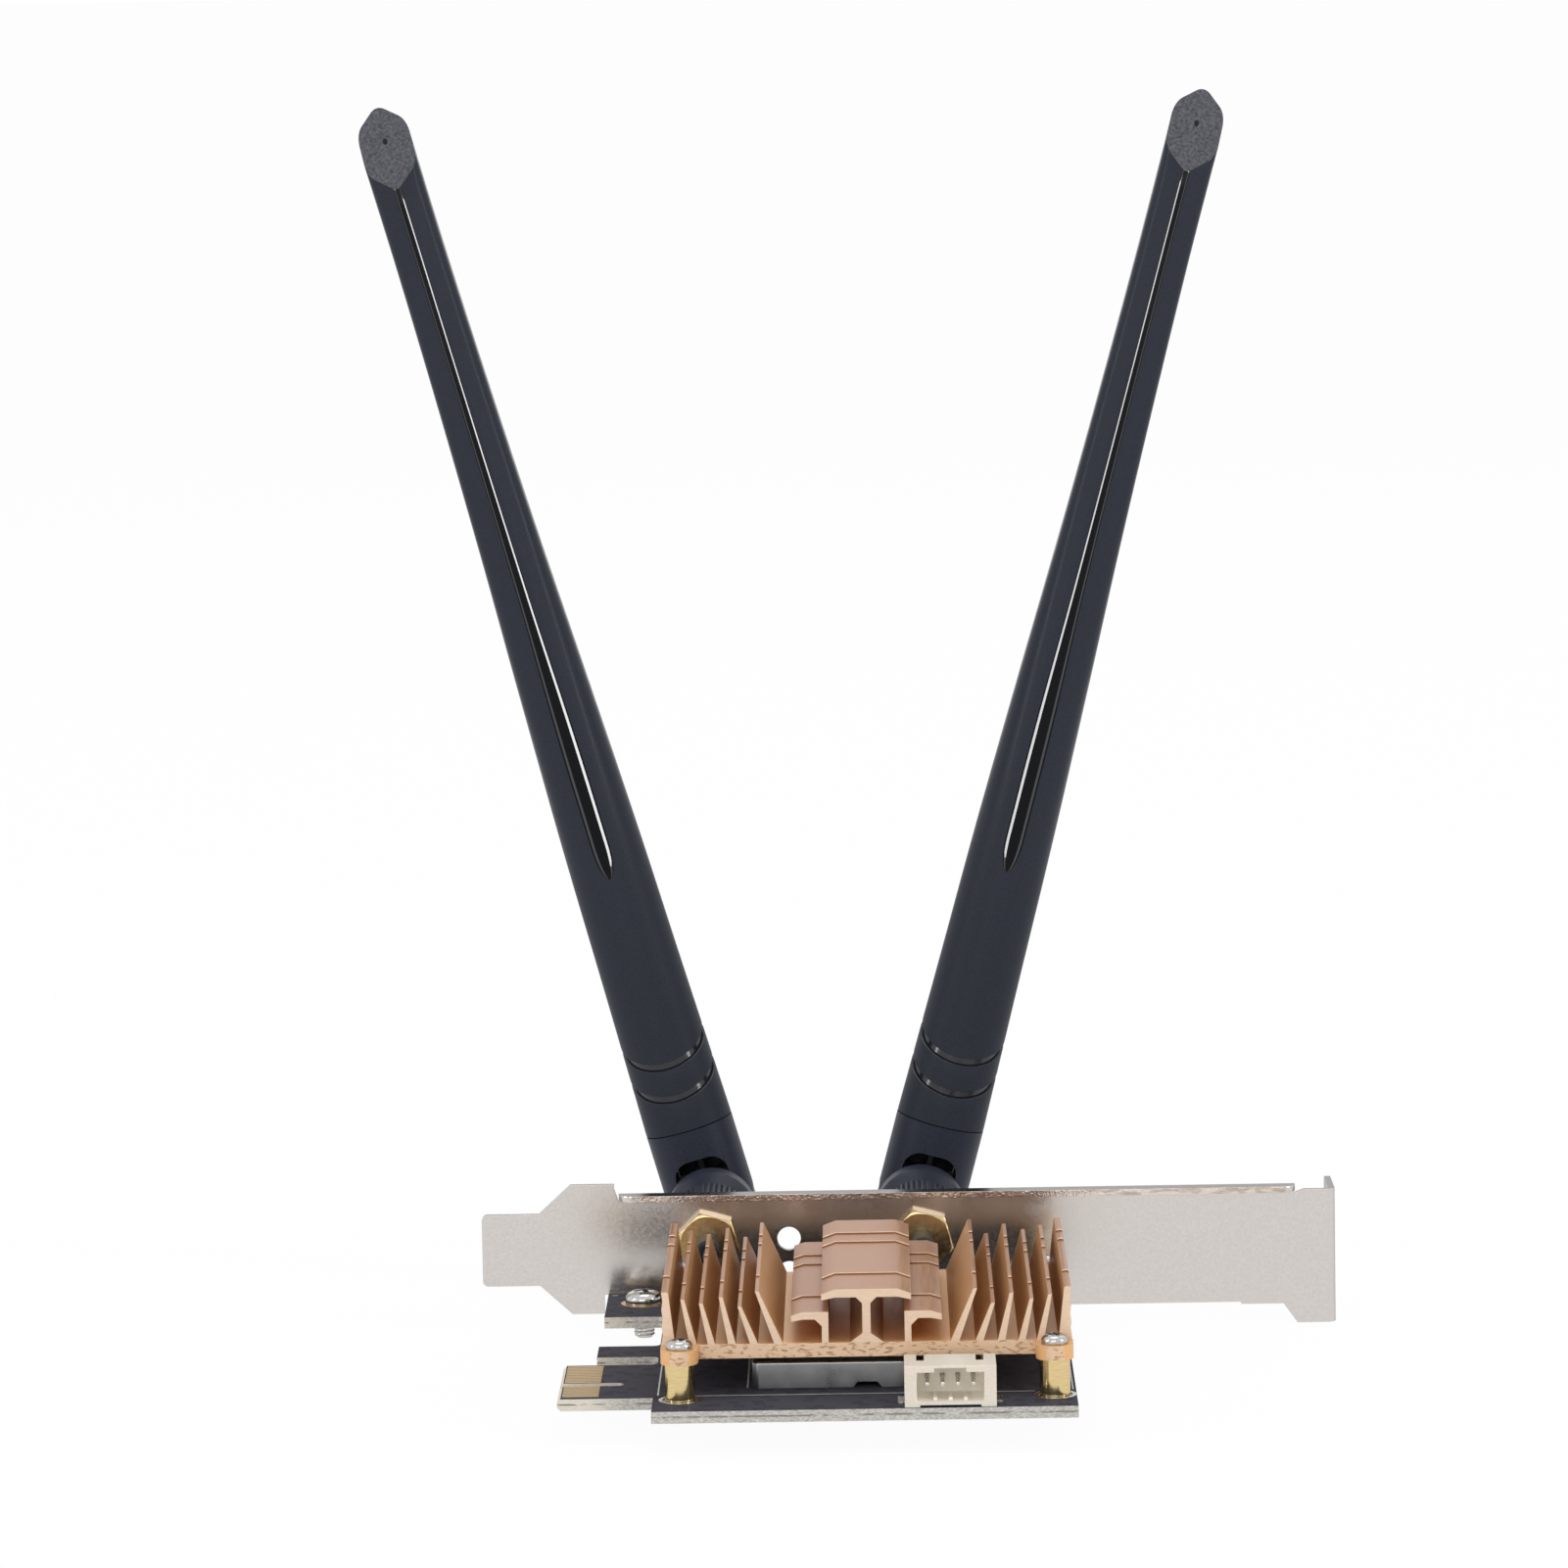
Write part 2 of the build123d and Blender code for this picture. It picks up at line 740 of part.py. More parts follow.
# Shield can: a shallow pressed box, open below, with a notch in the middle of each wall
can_middle = can_front + can_length / 2
with BuildPart() as shield_can:
    with BuildSketch(Plane.XY.offset(board_top)):
        with Locations((heatsink_x, can_middle)):
            RectangleRounded(can_width, can_length, can_corner)
    extrude(amount=can_height)
    fillet(shield_can.edges().group_by(Axis.Z)[-1], 2 * can_sheet)
    offset(amount=-can_sheet, openings=shield_can.faces().sort_by(Axis.Z)[0])
    for turn in (0, 90):
        across = Plane(
            origin=(heatsink_x, can_middle, board_top),
            x_dir=Vector(1, 0, 0).rotate(Axis.Z, turn),
            z_dir=Vector(0, -1, 0).rotate(Axis.Z, turn),
        )
        with BuildSketch(across):
            with BuildLine():
                Polyline(
                    (-can_notch_bottom / 2, 0),
                    (can_notch_bottom / 2, 0),
                    (can_notch_top / 2, can_notch_height),
                    (-can_notch_top / 2, can_notch_height),
                    close=True,
                )
            make_face()
        extrude(amount=can_width, both=True, mode=Mode.SUBTRACT)
save(shield_can.part, "shield_can")

# Thermal pad from the can to the heatsink's underside
with BuildPart() as thermal_pad:
    with BuildSketch(Plane.XY.offset(can_top)):
        with Locations((heatsink_x, can_middle)):
            RectangleRounded(pad_size, pad_size, can_corner)
    extrude(amount=heatsink_under - can_top)
save(thermal_pad.part, "thermal_pad")


def make_blocks(blocks):
    """Small flat parts that stand on the board: spot from the heatsink's middle, and size."""
    with BuildPart() as group:
        for (x, y), (width, length, height) in blocks:
            with BuildSketch(Plane.XY.offset(board_top)):
                with Locations((heatsink_x + x, y)):
                    Rectangle(width, length)
            extrude(amount=height)
    return group.part


# Parts under the can, and the power parts between the heatsink and the bracket
save(make_blocks([(chip_spot, chip_size)]), "radio_chip")
amplifier = (4.0, 4.0, 0.8)
crystal = (3.2, 2.5, 0.8)
capacitor = (0.6, 1.1, 0.6)
radio_blocks = [((-10.0, 4.0), amplifier), ((10.0, 4.0), amplifier), ((9.0, 15.0), crystal)]
radio_blocks += [((-10.0 + 2.0 * n, 21.0), capacitor) for n in range(11)]
save(make_blocks(radio_blocks), "radio_parts")
inductor = (4.0, 4.0, 2.0)
regulator = (3.0, 3.0, 0.9)
board_blocks = [((0.0, 52.0), inductor), ((5.5, 52.0), regulator)]
board_blocks += [((-4.0 + 1.6 * n, 47.5), capacitor) for n in range(8)]
board_blocks += [((9.5 + 1.6 * n, 54.0), capacitor) for n in range(4)]
save(make_blocks(board_blocks), "board_parts")

# Side-entry header: the housing
header_floor_z = board_top + header_floor
cavity_depth = header_depth - header_rear_wall
header_side = header_width / 2
anchor_y = header_rear - anchor_rear - anchor_length / 2
anchor_slot = anchor_thickness + 2 * anchor_clearance
first_pin = header_centre - (header_pin_count - 1) / 2 * header_pin_pitch
pin_xs = [first_pin + n * header_pin_pitch for n in range(header_pin_count)]
pin_z = board_top + header_pin_height

with BuildPart() as header_housing:
    with BuildSketch(Plane.XY.offset(board_top)):
        with Locations((header_centre, header_front + header_depth / 2)):
            Rectangle(header_width, header_depth)
    extrude(amount=header_height)
    with BuildSketch(upright(header_front)):
        with Locations((header_centre, header_floor_z + cavity_height / 2)):
            Rectangle(cavity_width, cavity_height)
        with Locations((header_centre, header_floor_z + (cavity_height + key_slot_height) / 2)):
            Rectangle(key_slot_width, cavity_height + key_slot_height)
    extrude(amount=-cavity_depth, mode=Mode.SUBTRACT)
    with BuildSketch(upright(header_front + header_pin_pitch / 2)):
        bump_xs = [x + header_pin_pitch / 2 for x in pin_xs[:-1]]
        with Locations(*[(x, header_floor_z + floor_bump_height / 2) for x in bump_xs]):
            Rectangle(floor_bump, floor_bump_height)
    extrude(amount=-floor_bump_length)
    with BuildSketch(upright(header_rear)):
        with Locations(*[(x, pin_z) for x in pin_xs]):
            Rectangle(header_pin + 2 * header_pin_clearance, header_pin + 2 * header_pin_clearance)
    extrude(amount=header_rear_wall, mode=Mode.SUBTRACT)
    with BuildSketch(Plane.XY.offset(board_top)):
        with Locations((header_centre, header_front + header_depth / 2)):
            Rectangle(header_width - 2 * header_foot_width, header_depth)
    extrude(amount=header_foot_gap, mode=Mode.SUBTRACT)
    with BuildSketch(Plane.XY.offset(board_top + header_height)):
        notch_x = (cavity_width - top_notch_width) / 2
        for side in (-1, 1):
            with Locations((header_centre + side * notch_x, header_rear - top_notch_depth / 2)):
                Rectangle(top_notch_width, top_notch_depth)
    top_wall = header_height - header_floor - cavity_height
    extrude(amount=-top_wall, mode=Mode.SUBTRACT)
    with BuildSketch(Plane.XY.offset(board_top)):
        for side in (-1, 1):
            with Locations((header_centre + side * (header_side - anchor_slot / 2), anchor_y)):
                Rectangle(anchor_slot, anchor_length + 2 * anchor_clearance)
    extrude(amount=anchor_height + anchor_clearance, mode=Mode.SUBTRACT)
save(header_housing.part, "header_housing")

# Header pins: straight through the rear wall, then down to the board
with BuildPart() as header_pins:
    pin_front = header_front + header_pin_pitch / 2
    pin_rear = header_rear + header_pin_pitch / 2
    for x in pin_xs:
        with BuildSketch(Plane.YZ.offset(x)) as pin_side:
            with BuildLine():
                Polyline(
                    (pin_front, pin_z - header_pin / 2),
                    (pin_rear - header_pin, pin_z - header_pin / 2),
                    (pin_rear - header_pin, board_top),
                    (pin_rear + header_pin_tail - header_pin_pitch / 2, board_top),
                    (pin_rear + header_pin_tail - header_pin_pitch / 2, board_top + header_pin / 2),
                    (pin_rear, board_top + header_pin / 2),
                    (pin_rear, pin_z + header_pin / 2),
                    (pin_front, pin_z + header_pin / 2),
                    close=True,
                )
            make_face()
        extrude(amount=header_pin / 2, both=True)
save(header_pins.part, "header_pins")

# Header anchors: a plate in each side slot with a foot on the board
with BuildPart() as header_anchors:
    for side in (-1, 1):
        plate_x = header_centre + side * (header_side - anchor_slot / 2)
        with BuildSketch(Plane.XY.offset(board_top)):
            with Locations((plate_x, anchor_y)):
                Rectangle(anchor_thickness, anchor_length)
        extrude(amount=anchor_height)
        foot_x = plate_x + side * (anchor_thickness + anchor_foot) / 2
        with BuildSketch(Plane.XY.offset(board_top)):
            with Locations((foot_x, anchor_y)):
                Rectangle(anchor_foot, anchor_length)
        extrude(amount=anchor_foot_thickness)
save(header_anchors.part, "header_anchors")


# Pigtail routes: from each jack's crimp, down behind the heatsink, to a plug on the board
def pigtail_route(x, side):
    start = [(x, bracket_face - hex_thickness - crimp_length / 2, jack_height)]
    drop = jack_height - board_top - plug_axis_height
    steps = zip(pigtail_steps, pigtail_drops)
    ahead = [(x + side * dx, bracket_face + dy, jack_height - share * drop) for (dx, dy), share in steps]
    return start + ahead


def plug_spot(route):
    """Middle of the plug and the direction in which the cable runs into it."""
    (x0, y0, _), (x1, y1, z1) = route[-2:]
    run = hypot(x1 - x0, y1 - y0)
    along = ((x1 - x0) / run, (y1 - y0) / run)
    return (x1 + along[0] * plug_ahead, y1 + along[1] * plug_ahead), along, z1


def corner_radii(route):
    """Largest even radius at each corner of a route, from the shorter of its two runs."""
    points = [Vector(*point) for point in route]
    radii = []
    for before, corner, after in zip(points, points[1:], points[2:]):
        turn = (corner - before).get_angle(after - corner)
        shorter = min((corner - before).length, (after - corner).length)
        half = radians(turn / 2)
        radii.append(tangent_share * shorter * cos(half) / sin(half))
    return radii


routes = {name: pigtail_route(x, side) for name, x, _, side in sides}
plugs = {name: plug_spot(route) for name, route in routes.items()}

# Coax sockets on the board: a foot, a ring and a pin each
with BuildPart() as coax_sockets:
    for spot, _, _ in plugs.values():
        with BuildSketch(Plane.XY.offset(board_top)):
            with Locations(spot):
                Rectangle(socket_base[0], socket_base[1])
        extrude(amount=socket_base[2])
        with BuildSketch(Plane.XY.offset(board_top)):
            with Locations(spot):
                Circle(socket_ring / 2)
                Circle(socket_ring / 2 - socket_ring_wall, mode=Mode.SUBTRACT)
                Circle(socket_pin / 2)
        extrude(amount=socket_height)
save(coax_sockets.part, "coax_sockets")


def hexagon_blank(plane, across, thickness, chamfered):
    """A hexagon with its corners turned down on the face that shows."""
    with BuildPart() as blank:
        with BuildSketch(plane):
            Circle(across / 2 / cos(radians(30)))
        extrude(amount=thickness)
        ends = blank.edges().filter_by(GeomType.CIRCLE).sort_by(Axis.Y)
        chamfer(ends[0] if chamfered == "inner" else ends[-1], hex_chamfer, 2 * hex_chamfer)
        with BuildSketch(plane):
            RegularPolygon(across / 2, 6, major_radius=False, rotation=hex_turn)
        extrude(amount=thickness, mode=Mode.INTERSECT)
    return blank.part


def make_jack(x):
    """Hexagon on the inner face, threaded barrel through the bracket, crimp for the cable."""
    hexagon = hexagon_blank(on_axis(x, -hex_thickness), hex_across, hex_thickness, "inner")
    with BuildPart() as jack:
        add(hexagon)
        with BuildSketch(on_axis(x, 0)):
            Circle(thread_diameter / 2)
        extrude(amount=jack_reach)
        with BuildSketch(on_axis(x, -hex_thickness)):
            Circle(crimp_diameter / 2)
        extrude(amount=-crimp_length)
        with BuildSketch(on_axis(x, jack_reach)):
            Circle(jack_bore / 2)
        extrude(amount=-jack_bore_depth - insulator_length, mode=Mode.SUBTRACT)
        with BuildSketch(on_axis(x, -hex_thickness - crimp_length)):
            Circle(cable_diameter / 2 + slip_clearance)
        extrude(amount=crimp_length, mode=Mode.SUBTRACT)
    return jack.part


def make_jack_insulator(x):
    with BuildPart() as insulator:
        with BuildSketch(on_axis(x, jack_reach - jack_bore_depth)):
            Circle(jack_bore / 2 - slip_clearance)
            Circle(contact_diameter / 2 + slip_clearance, mode=Mode.SUBTRACT)
        extrude(amount=-insulator_length)
    return insulator.part


def make_jack_contact(x):
    with BuildPart() as contact:
        with BuildSketch(on_axis(x, jack_reach - jack_bore_depth - insulator_length)):
            Circle(contact_diameter / 2)
        extrude(amount=insulator_length + contact_reach)
        tip = contact.edges().filter_by(GeomType.CIRCLE).sort_by(Axis.Y)[-1]
        chamfer(tip, contact_diameter / 4)
    return contact.part


def make_jack_washer(x):
    with BuildPart() as washer:
        with BuildSketch(on_axis(x, sheet)):
            Circle(washer_diameter / 2)
            Circle(thread_diameter / 2 + bracket_hole_clearance, mode=Mode.SUBTRACT)
            with PolarLocations(thread_diameter / 2 + washer_tooth_depth / 2, washer_teeth):
                Rectangle(washer_tooth_depth, washer_tooth_width, mode=Mode.SUBTRACT)
        extrude(amount=washer_thickness)
    return washer.part


def make_jack_nut(x):
    hexagon = hexagon_blank(on_axis(x, sheet + washer_thickness), hex_across, jack_nut_thickness, "outer")
    with BuildPart() as jack_nut:
        add(hexagon)
        with BuildSketch(on_axis(x, sheet + washer_thickness)):
            Circle(thread_diameter / 2 + thread_clearance)
        extrude(amount=jack_nut_thickness, mode=Mode.SUBTRACT)
    return jack_nut.part


def make_cable_boot(x):
    """Sleeve over the crimp, closing on the cable at its free end."""
    with BuildPart() as boot:
        with BuildSketch(on_axis(x, -hex_thickness)):
            Circle(boot_diameter / 2)
        extrude(amount=-boot_length)
        free_end = boot.edges().filter_by(GeomType.CIRCLE).sort_by(Axis.Y)[0]
        fillet(free_end, (boot_diameter - cable_diameter) / 4)
        with BuildSketch(on_axis(x, -hex_thickness)):
            Circle(crimp_diameter / 2 + slip_clearance)
        extrude(amount=-crimp_length - slip_clearance, mode=Mode.SUBTRACT)
        with BuildSketch(on_axis(x, -hex_thickness)):
            Circle(cable_diameter / 2 + slip_clearance)
        extrude(amount=-boot_length, mode=Mode.SUBTRACT)
    return boot.part


def make_pigtail(route, name):
    """Round cable along straight runs joined by tangent arcs."""
    radii = corner_radii(route)
    with BuildPart() as pigtail:
        with BuildLine() as path:
            FilletPolyline(*route, radius=radii)
        wire = path.wires()[0]
        with BuildSketch(Plane(origin=wire @ 0, z_dir=wire % 0)):
            Circle(cable_diameter / 2)
        sweep(path=wire)
    print(name, "pigtail", round(wire.length, 1), "mm, radii", [round(radius, 1) for radius in radii])
    return pigtail.part


def make_cable_plug(name):
    """Round cap over the socket's ring, with a ferrule that takes the cable."""
    (x, y), along, height = plugs[name]
    reach = plug_ahead + cable_in_ferrule
    inlet = Plane(
        origin=(x - along[0] * reach, y - along[1] * reach, height),
        x_dir=(-along[1], along[0], 0),
        z_dir=(along[0], along[1], 0),
    )
    cap_low = board_top + plug_lift
    with BuildPart() as plug:
        with BuildSketch(inlet):
            Circle(ferrule_diameter / 2)
        extrude(amount=reach)
        with BuildSketch(Plane.XY.offset(cap_low)):
            with Locations((x, y)):
                Circle(plug_diameter / 2)
        extrude(amount=plug_height)
        with BuildSketch(Plane.XY.offset(board_top)):
            with Locations((x, y)):
                Circle(socket_ring / 2 + thread_clearance)
        extrude(amount=socket_height + slip_clearance, mode=Mode.SUBTRACT)
        with BuildSketch(inlet):
            Circle(cable_diameter / 2 + slip_clearance)
        extrude(amount=cable_in_ferrule + slip_clearance, mode=Mode.SUBTRACT)
    return plug.part


def make_coupling_nut(x):
    """Ridged nut that turns on the knuckle's stem and screws onto the jack."""
    body = nut_end - nut_start
    with BuildPart() as nut:
        with BuildSketch(on_axis(x, nut_start)):
            Circle(nut_diameter / 2 - nut_rim_drop)
        extrude(amount=body)
        with BuildSketch(on_axis(x, nut_start + nut_rim)):
            Circle(nut_diameter / 2)
            with PolarLocations(nut_diameter / 2, nut_ridges):
                RegularPolygon(ridge_depth, 4, mode=Mode.SUBTRACT)
        extrude(amount=body - 2 * nut_rim)
        with BuildSketch(on_axis(x, nut_start)):
            Circle(thread_diameter / 2 + nut_thread_clearance)
        extrude(amount=nut_wall_start - nut_start, mode=Mode.SUBTRACT)
        with BuildSketch(on_axis(x, nut_start)):
            Circle(stem_diameter / 2 + nut_shaft_clearance)
        extrude(amount=body, mode=Mode.SUBTRACT)
    return nut.part


def make_plug_body(x):
    """Turned stem: its flange holds the coupling nut and its far end is gripped by the collar."""
    with BuildPart() as body:
        with BuildSketch(on_axis(x, flange_start)):
            Circle(stem_flange / 2)
        extrude(amount=stem_flange_length)
        with BuildSketch(on_axis(x, flange_start)):
            Circle(stem_diameter / 2)
        extrude(amount=collar_start + stem_grip - flange_start)
        with BuildSketch(on_axis(x, flange_start)):
            Circle(feed_bore / 2)
        extrude(amount=collar_start + stem_grip - flange_start, mode=Mode.SUBTRACT)
    return body.part


def make_knuckle(x, base):
    """Collar and hinge tongue, bored for the stem and the feed cable."""
    collar_end = hinge_distance - collar_hinge_gap
    profile = [
        (collar_start, 0),
        (collar_start, collar_nose / 2),
        (collar_start + collar_cone, collar_diameter / 2),
        (collar_end, collar_diameter / 2),
        (collar_end, 0),
    ]
    along_axis = Plane(origin=(x, bracket_face, jack_height), x_dir=(0, 1, 0), z_dir=(1, 0, 0))
    with BuildPart() as knuckle:
        with BuildSketch(along_axis):
            with BuildLine():
                Polyline(*profile, close=True)
            make_face()
        revolve(axis=Axis((x, bracket_face, jack_height), (0, 1, 0)))
        rims = knuckle.edges().filter_by(GeomType.CIRCLE)
        fillet([rim for rim in rims if abs(rim.radius - collar_diameter / 2) < pick], collar_round)
        with BuildSketch(hinge_side(base)):
            Circle(tongue_half_height)
            with Locations((-collar_hinge_gap / 2, 0)):
                Rectangle(collar_hinge_gap, 2 * tongue_half_height)
        extrude(amount=tongue_thickness / 2, both=True)
        with BuildSketch(hinge_side(base)):
            Circle(hinge_pin_diameter / 2 + hinge_pin_clearance)
        extrude(amount=tongue_thickness / 2, both=True, mode=Mode.SUBTRACT)
        with BuildSketch(on_axis(x, collar_start)):
            Circle(stem_diameter / 2 + slip_clearance)
        extrude(amount=stem_grip, mode=Mode.SUBTRACT)
        with BuildSketch(on_axis(x, collar_start)):
            Circle(feed_bore / 2)
        extrude(amount=hinge_distance - collar_start, mode=Mode.SUBTRACT)
        # The feed cable swings through this slot as the antenna unfolds
        feed_slot = feed_cable / 2 + feed_slot_clearance
        with BuildSketch(hinge_side(base)):
            with Locations((-feed_slot, -feed_slot)):
                Rectangle(2 * tongue_half_height, 2 * tongue_half_height, align=(Align.MIN, Align.MIN))
        extrude(amount=feed_slot, both=True, mode=Mode.SUBTRACT)
    return knuckle.part


def make_plug_insert(x):
    """Centre of the antenna's plug: it fills the jack's bore and carries the feed cable."""
    with BuildPart() as insert:
        with BuildSketch(on_axis(x, flange_start)):
            Circle(insert_diameter / 2)
        extrude(amount=-insert_length)
        with BuildSketch(on_axis(x, flange_start - insert_length)):
            Circle(contact_diameter / 2 + insert_socket_clearance)
        extrude(amount=contact_reach, mode=Mode.SUBTRACT)
        with BuildSketch(on_axis(x, flange_start)):
            Circle(feed_cable / 2)
        extrude(amount=hinge_distance - flange_start - feed_start)
    return insert.part


def make_yoke(base):
    """Fork round the knuckle's tongue, with a spigot for the sleeve."""
    with BuildPart() as yoke:
        with BuildSketch(base.offset(-yoke_radius)):
            Circle(yoke_radius)
        extrude(amount=yoke_radius + yoke_top)
        with BuildSketch(hinge_side(base)):
            with Locations((0, yoke_end_rise)):
                Circle(yoke_end_radius)
            with Locations((0, yoke_end_rise + yoke_top / 2)):
                Rectangle(2 * yoke_end_radius, yoke_top)
        extrude(amount=yoke_radius, both=True, mode=Mode.INTERSECT)
        with BuildSketch(base.offset(yoke_top)):
            Circle(spigot_radius)
        extrude(amount=spigot_length)
        slot_width = tongue_thickness + 2 * slot_side_clearance
        slot_low = -yoke_end_radius
        with BuildSketch(antenna_front(base, slot_back)) as slot:
            with Locations((0, (slot_top + slot_low) / 2)):
                Rectangle(slot_width, slot_top - slot_low)
            fillet(slot.vertices().group_by(Axis.Y)[-1], slot_corner)
        extrude(amount=slot_back + yoke_end_radius, mode=Mode.SUBTRACT)
        with BuildSketch(base):
            Circle(feed_cable / 2 + slip_clearance)
        extrude(amount=yoke_top + spigot_length, mode=Mode.SUBTRACT)
        with BuildSketch(hinge_side(base)):
            Circle(hinge_pin_diameter / 2 + press_clearance)
        extrude(amount=yoke_radius, both=True, mode=Mode.SUBTRACT)
    return yoke.part


def make_hinge_pins(base):
    """Two short pins, one in each cheek of the yoke, clear of the feed cable between them."""
    inner_end = tongue_thickness / 2 - hinge_pin_grip
    with BuildPart() as pins:
        for side in (1, -1):
            with BuildSketch(hinge_side(base).offset(side * inner_end)):
                Circle(hinge_pin_diameter / 2)
            extrude(amount=side * (hinge_pin_end - inner_end))
    return pins.part


def tapered_body(base, inset):
    """Sleeve's outer form: round at the yoke, six sided at the tip, an inset inside its skin."""
    with BuildPart() as body:
        for distance, half_width, corner in stations:
            with BuildSketch(base.offset(distance)) as section:
                RegularPolygon(half_width - inset, 6, major_radius=False, rotation=90)
                fillet(section.vertices(), corner * (half_width - inset))
        loft()
    return body.part


def half_width_at(distance):
    """Half width of the sleeve at a distance from the hinge."""
    for (low, wide, _), (high, narrow, _) in zip(stations, stations[1:]):
        if low <= distance <= high:
            return wide + (narrow - wide) * (distance - low) / (high - low)
    return stations[-1][1]


def make_sleeve(base):
    """Hollow tapered cover with two slanted rings, a front strip and an oblique tip."""
    outer = tapered_body(base, 0)
    skin = tapered_body(base, strip_depth)
    half_tip = half_width_at(antenna_length)
    tip_plane = Plane(
        origin=base.from_local_coords(Vector(0, -half_tip, antenna_length - tip_rise)),
        x_dir=base.x_dir,
        z_dir=base.z_dir * (2 * half_tip) - base.y_dir * tip_rise,
    )
    with BuildPart() as strip:
        with BuildSketch(antenna_front(base, 0)):
            with BuildLine():
                Polyline(
                    (-strip_wide / 2, strip_start),
                    (strip_wide / 2, strip_start),
                    (strip_narrow / 2, antenna_length + tip_over),
                    (-strip_narrow / 2, antenna_length + tip_over),
                    close=True,
                )
            make_face()
            with Locations((0, strip_start)):
                Circle(strip_wide / 2)
        extrude(amount=2 * yoke_radius)
        add(skin, mode=Mode.SUBTRACT)
    with BuildPart() as sleeve:
        add(outer)
        split(bisect_by=tip_plane, keep=Keep.BOTTOM)
        add(strip.part, mode=Mode.SUBTRACT)
        for distance in ring_distances:
            ring_plane = Plane(
                origin=base.from_local_coords(Vector(0, 0, distance)),
                x_dir=base.x_dir,
                z_dir=base.z_dir * cos(radians(ring_tilt)) - base.y_dir * sin(radians(ring_tilt)),
            )
            floor = half_width_at(distance) - ring_depth
            with BuildSketch(ring_plane):
                Circle(2 * yoke_radius)
                Ellipse(floor, floor / cos(radians(ring_tilt)), mode=Mode.SUBTRACT)
            extrude(amount=ring_width / 2, both=True, mode=Mode.SUBTRACT)
        with BuildSketch(tip_plane):
            with Locations((0, gate_distance)):
                Circle(gate_diameter / 2)
        extrude(amount=-gate_depth, mode=Mode.SUBTRACT)
        with BuildSketch(base.offset(sleeve_start)):
            Circle(spigot_radius + slip_clearance)
        extrude(amount=sleeve_bore - sleeve_start, mode=Mode.SUBTRACT)
        with BuildSketch(base.offset(sleeve_bore)):
            Circle(spigot_radius + slip_clearance)
        with BuildSketch(base.offset(antenna_length - sleeve_solid_tip)):
            Circle(sleeve_bore_tip)
        loft(mode=Mode.SUBTRACT)
    return sleeve.part


def make_radiator(base):
    """Feed cable from the hinge with a brass tube and wire at its upper end."""
    pieces = (
        (feed_cable, feed_start, dipole_start),
        (dipole_tube, dipole_start, dipole_start + dipole_tube_length),
        (dipole_wire, dipole_start + dipole_tube_length,
         dipole_start + dipole_tube_length + dipole_wire_length),
    )
    with BuildPart() as radiator:
        for diameter, low, high in pieces:
            with BuildSketch(base.offset(low)):
                Circle(diameter / 2)
            extrude(amount=high - low)
    return radiator.part


for name, x, lean, _ in sides:
    base = antenna_base(x, lean)
    save(make_jack(x), f"{name}_jack")
    save(make_jack_insulator(x), f"{name}_jack_insulator")
    save(make_jack_contact(x), f"{name}_jack_contact")
    save(make_jack_washer(x), f"{name}_jack_washer")
    save(make_jack_nut(x), f"{name}_jack_nut")
    save(make_cable_boot(x), f"{name}_cable_boot")
    save(make_pigtail(routes[name], name), f"{name}_pigtail")
    save(make_cable_plug(name), f"{name}_cable_plug")
    save(make_coupling_nut(x), f"{name}_coupling_nut")
    save(make_plug_body(x), f"{name}_plug_body")
    save(make_knuckle(x, base), f"{name}_knuckle")
    save(make_plug_insert(x), f"{name}_plug_insert")
    save(make_yoke(base), f"{name}_yoke")
    save(make_hinge_pins(base), f"{name}_hinge_pins")
    save(make_sleeve(base), f"{name}_sleeve")
    save(make_radiator(base), f"{name}_radiator")
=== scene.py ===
# %% [markdown]
# # A network card with two antennas
# The card has a folded steel bracket, a black circuit board, a finned heatsink on four brass
# standoffs and two antennas on hinged feet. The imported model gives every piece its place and
# size, and this lesson gives each one its finish. It works in metres, so sizes written in
# millimetres are multiplied by MM.

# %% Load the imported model
import json
from contextlib import contextmanager
from math import asin, cos, hypot, pi, radians, sin, sqrt, tan

import bpy
from mathutils import Matrix, Vector

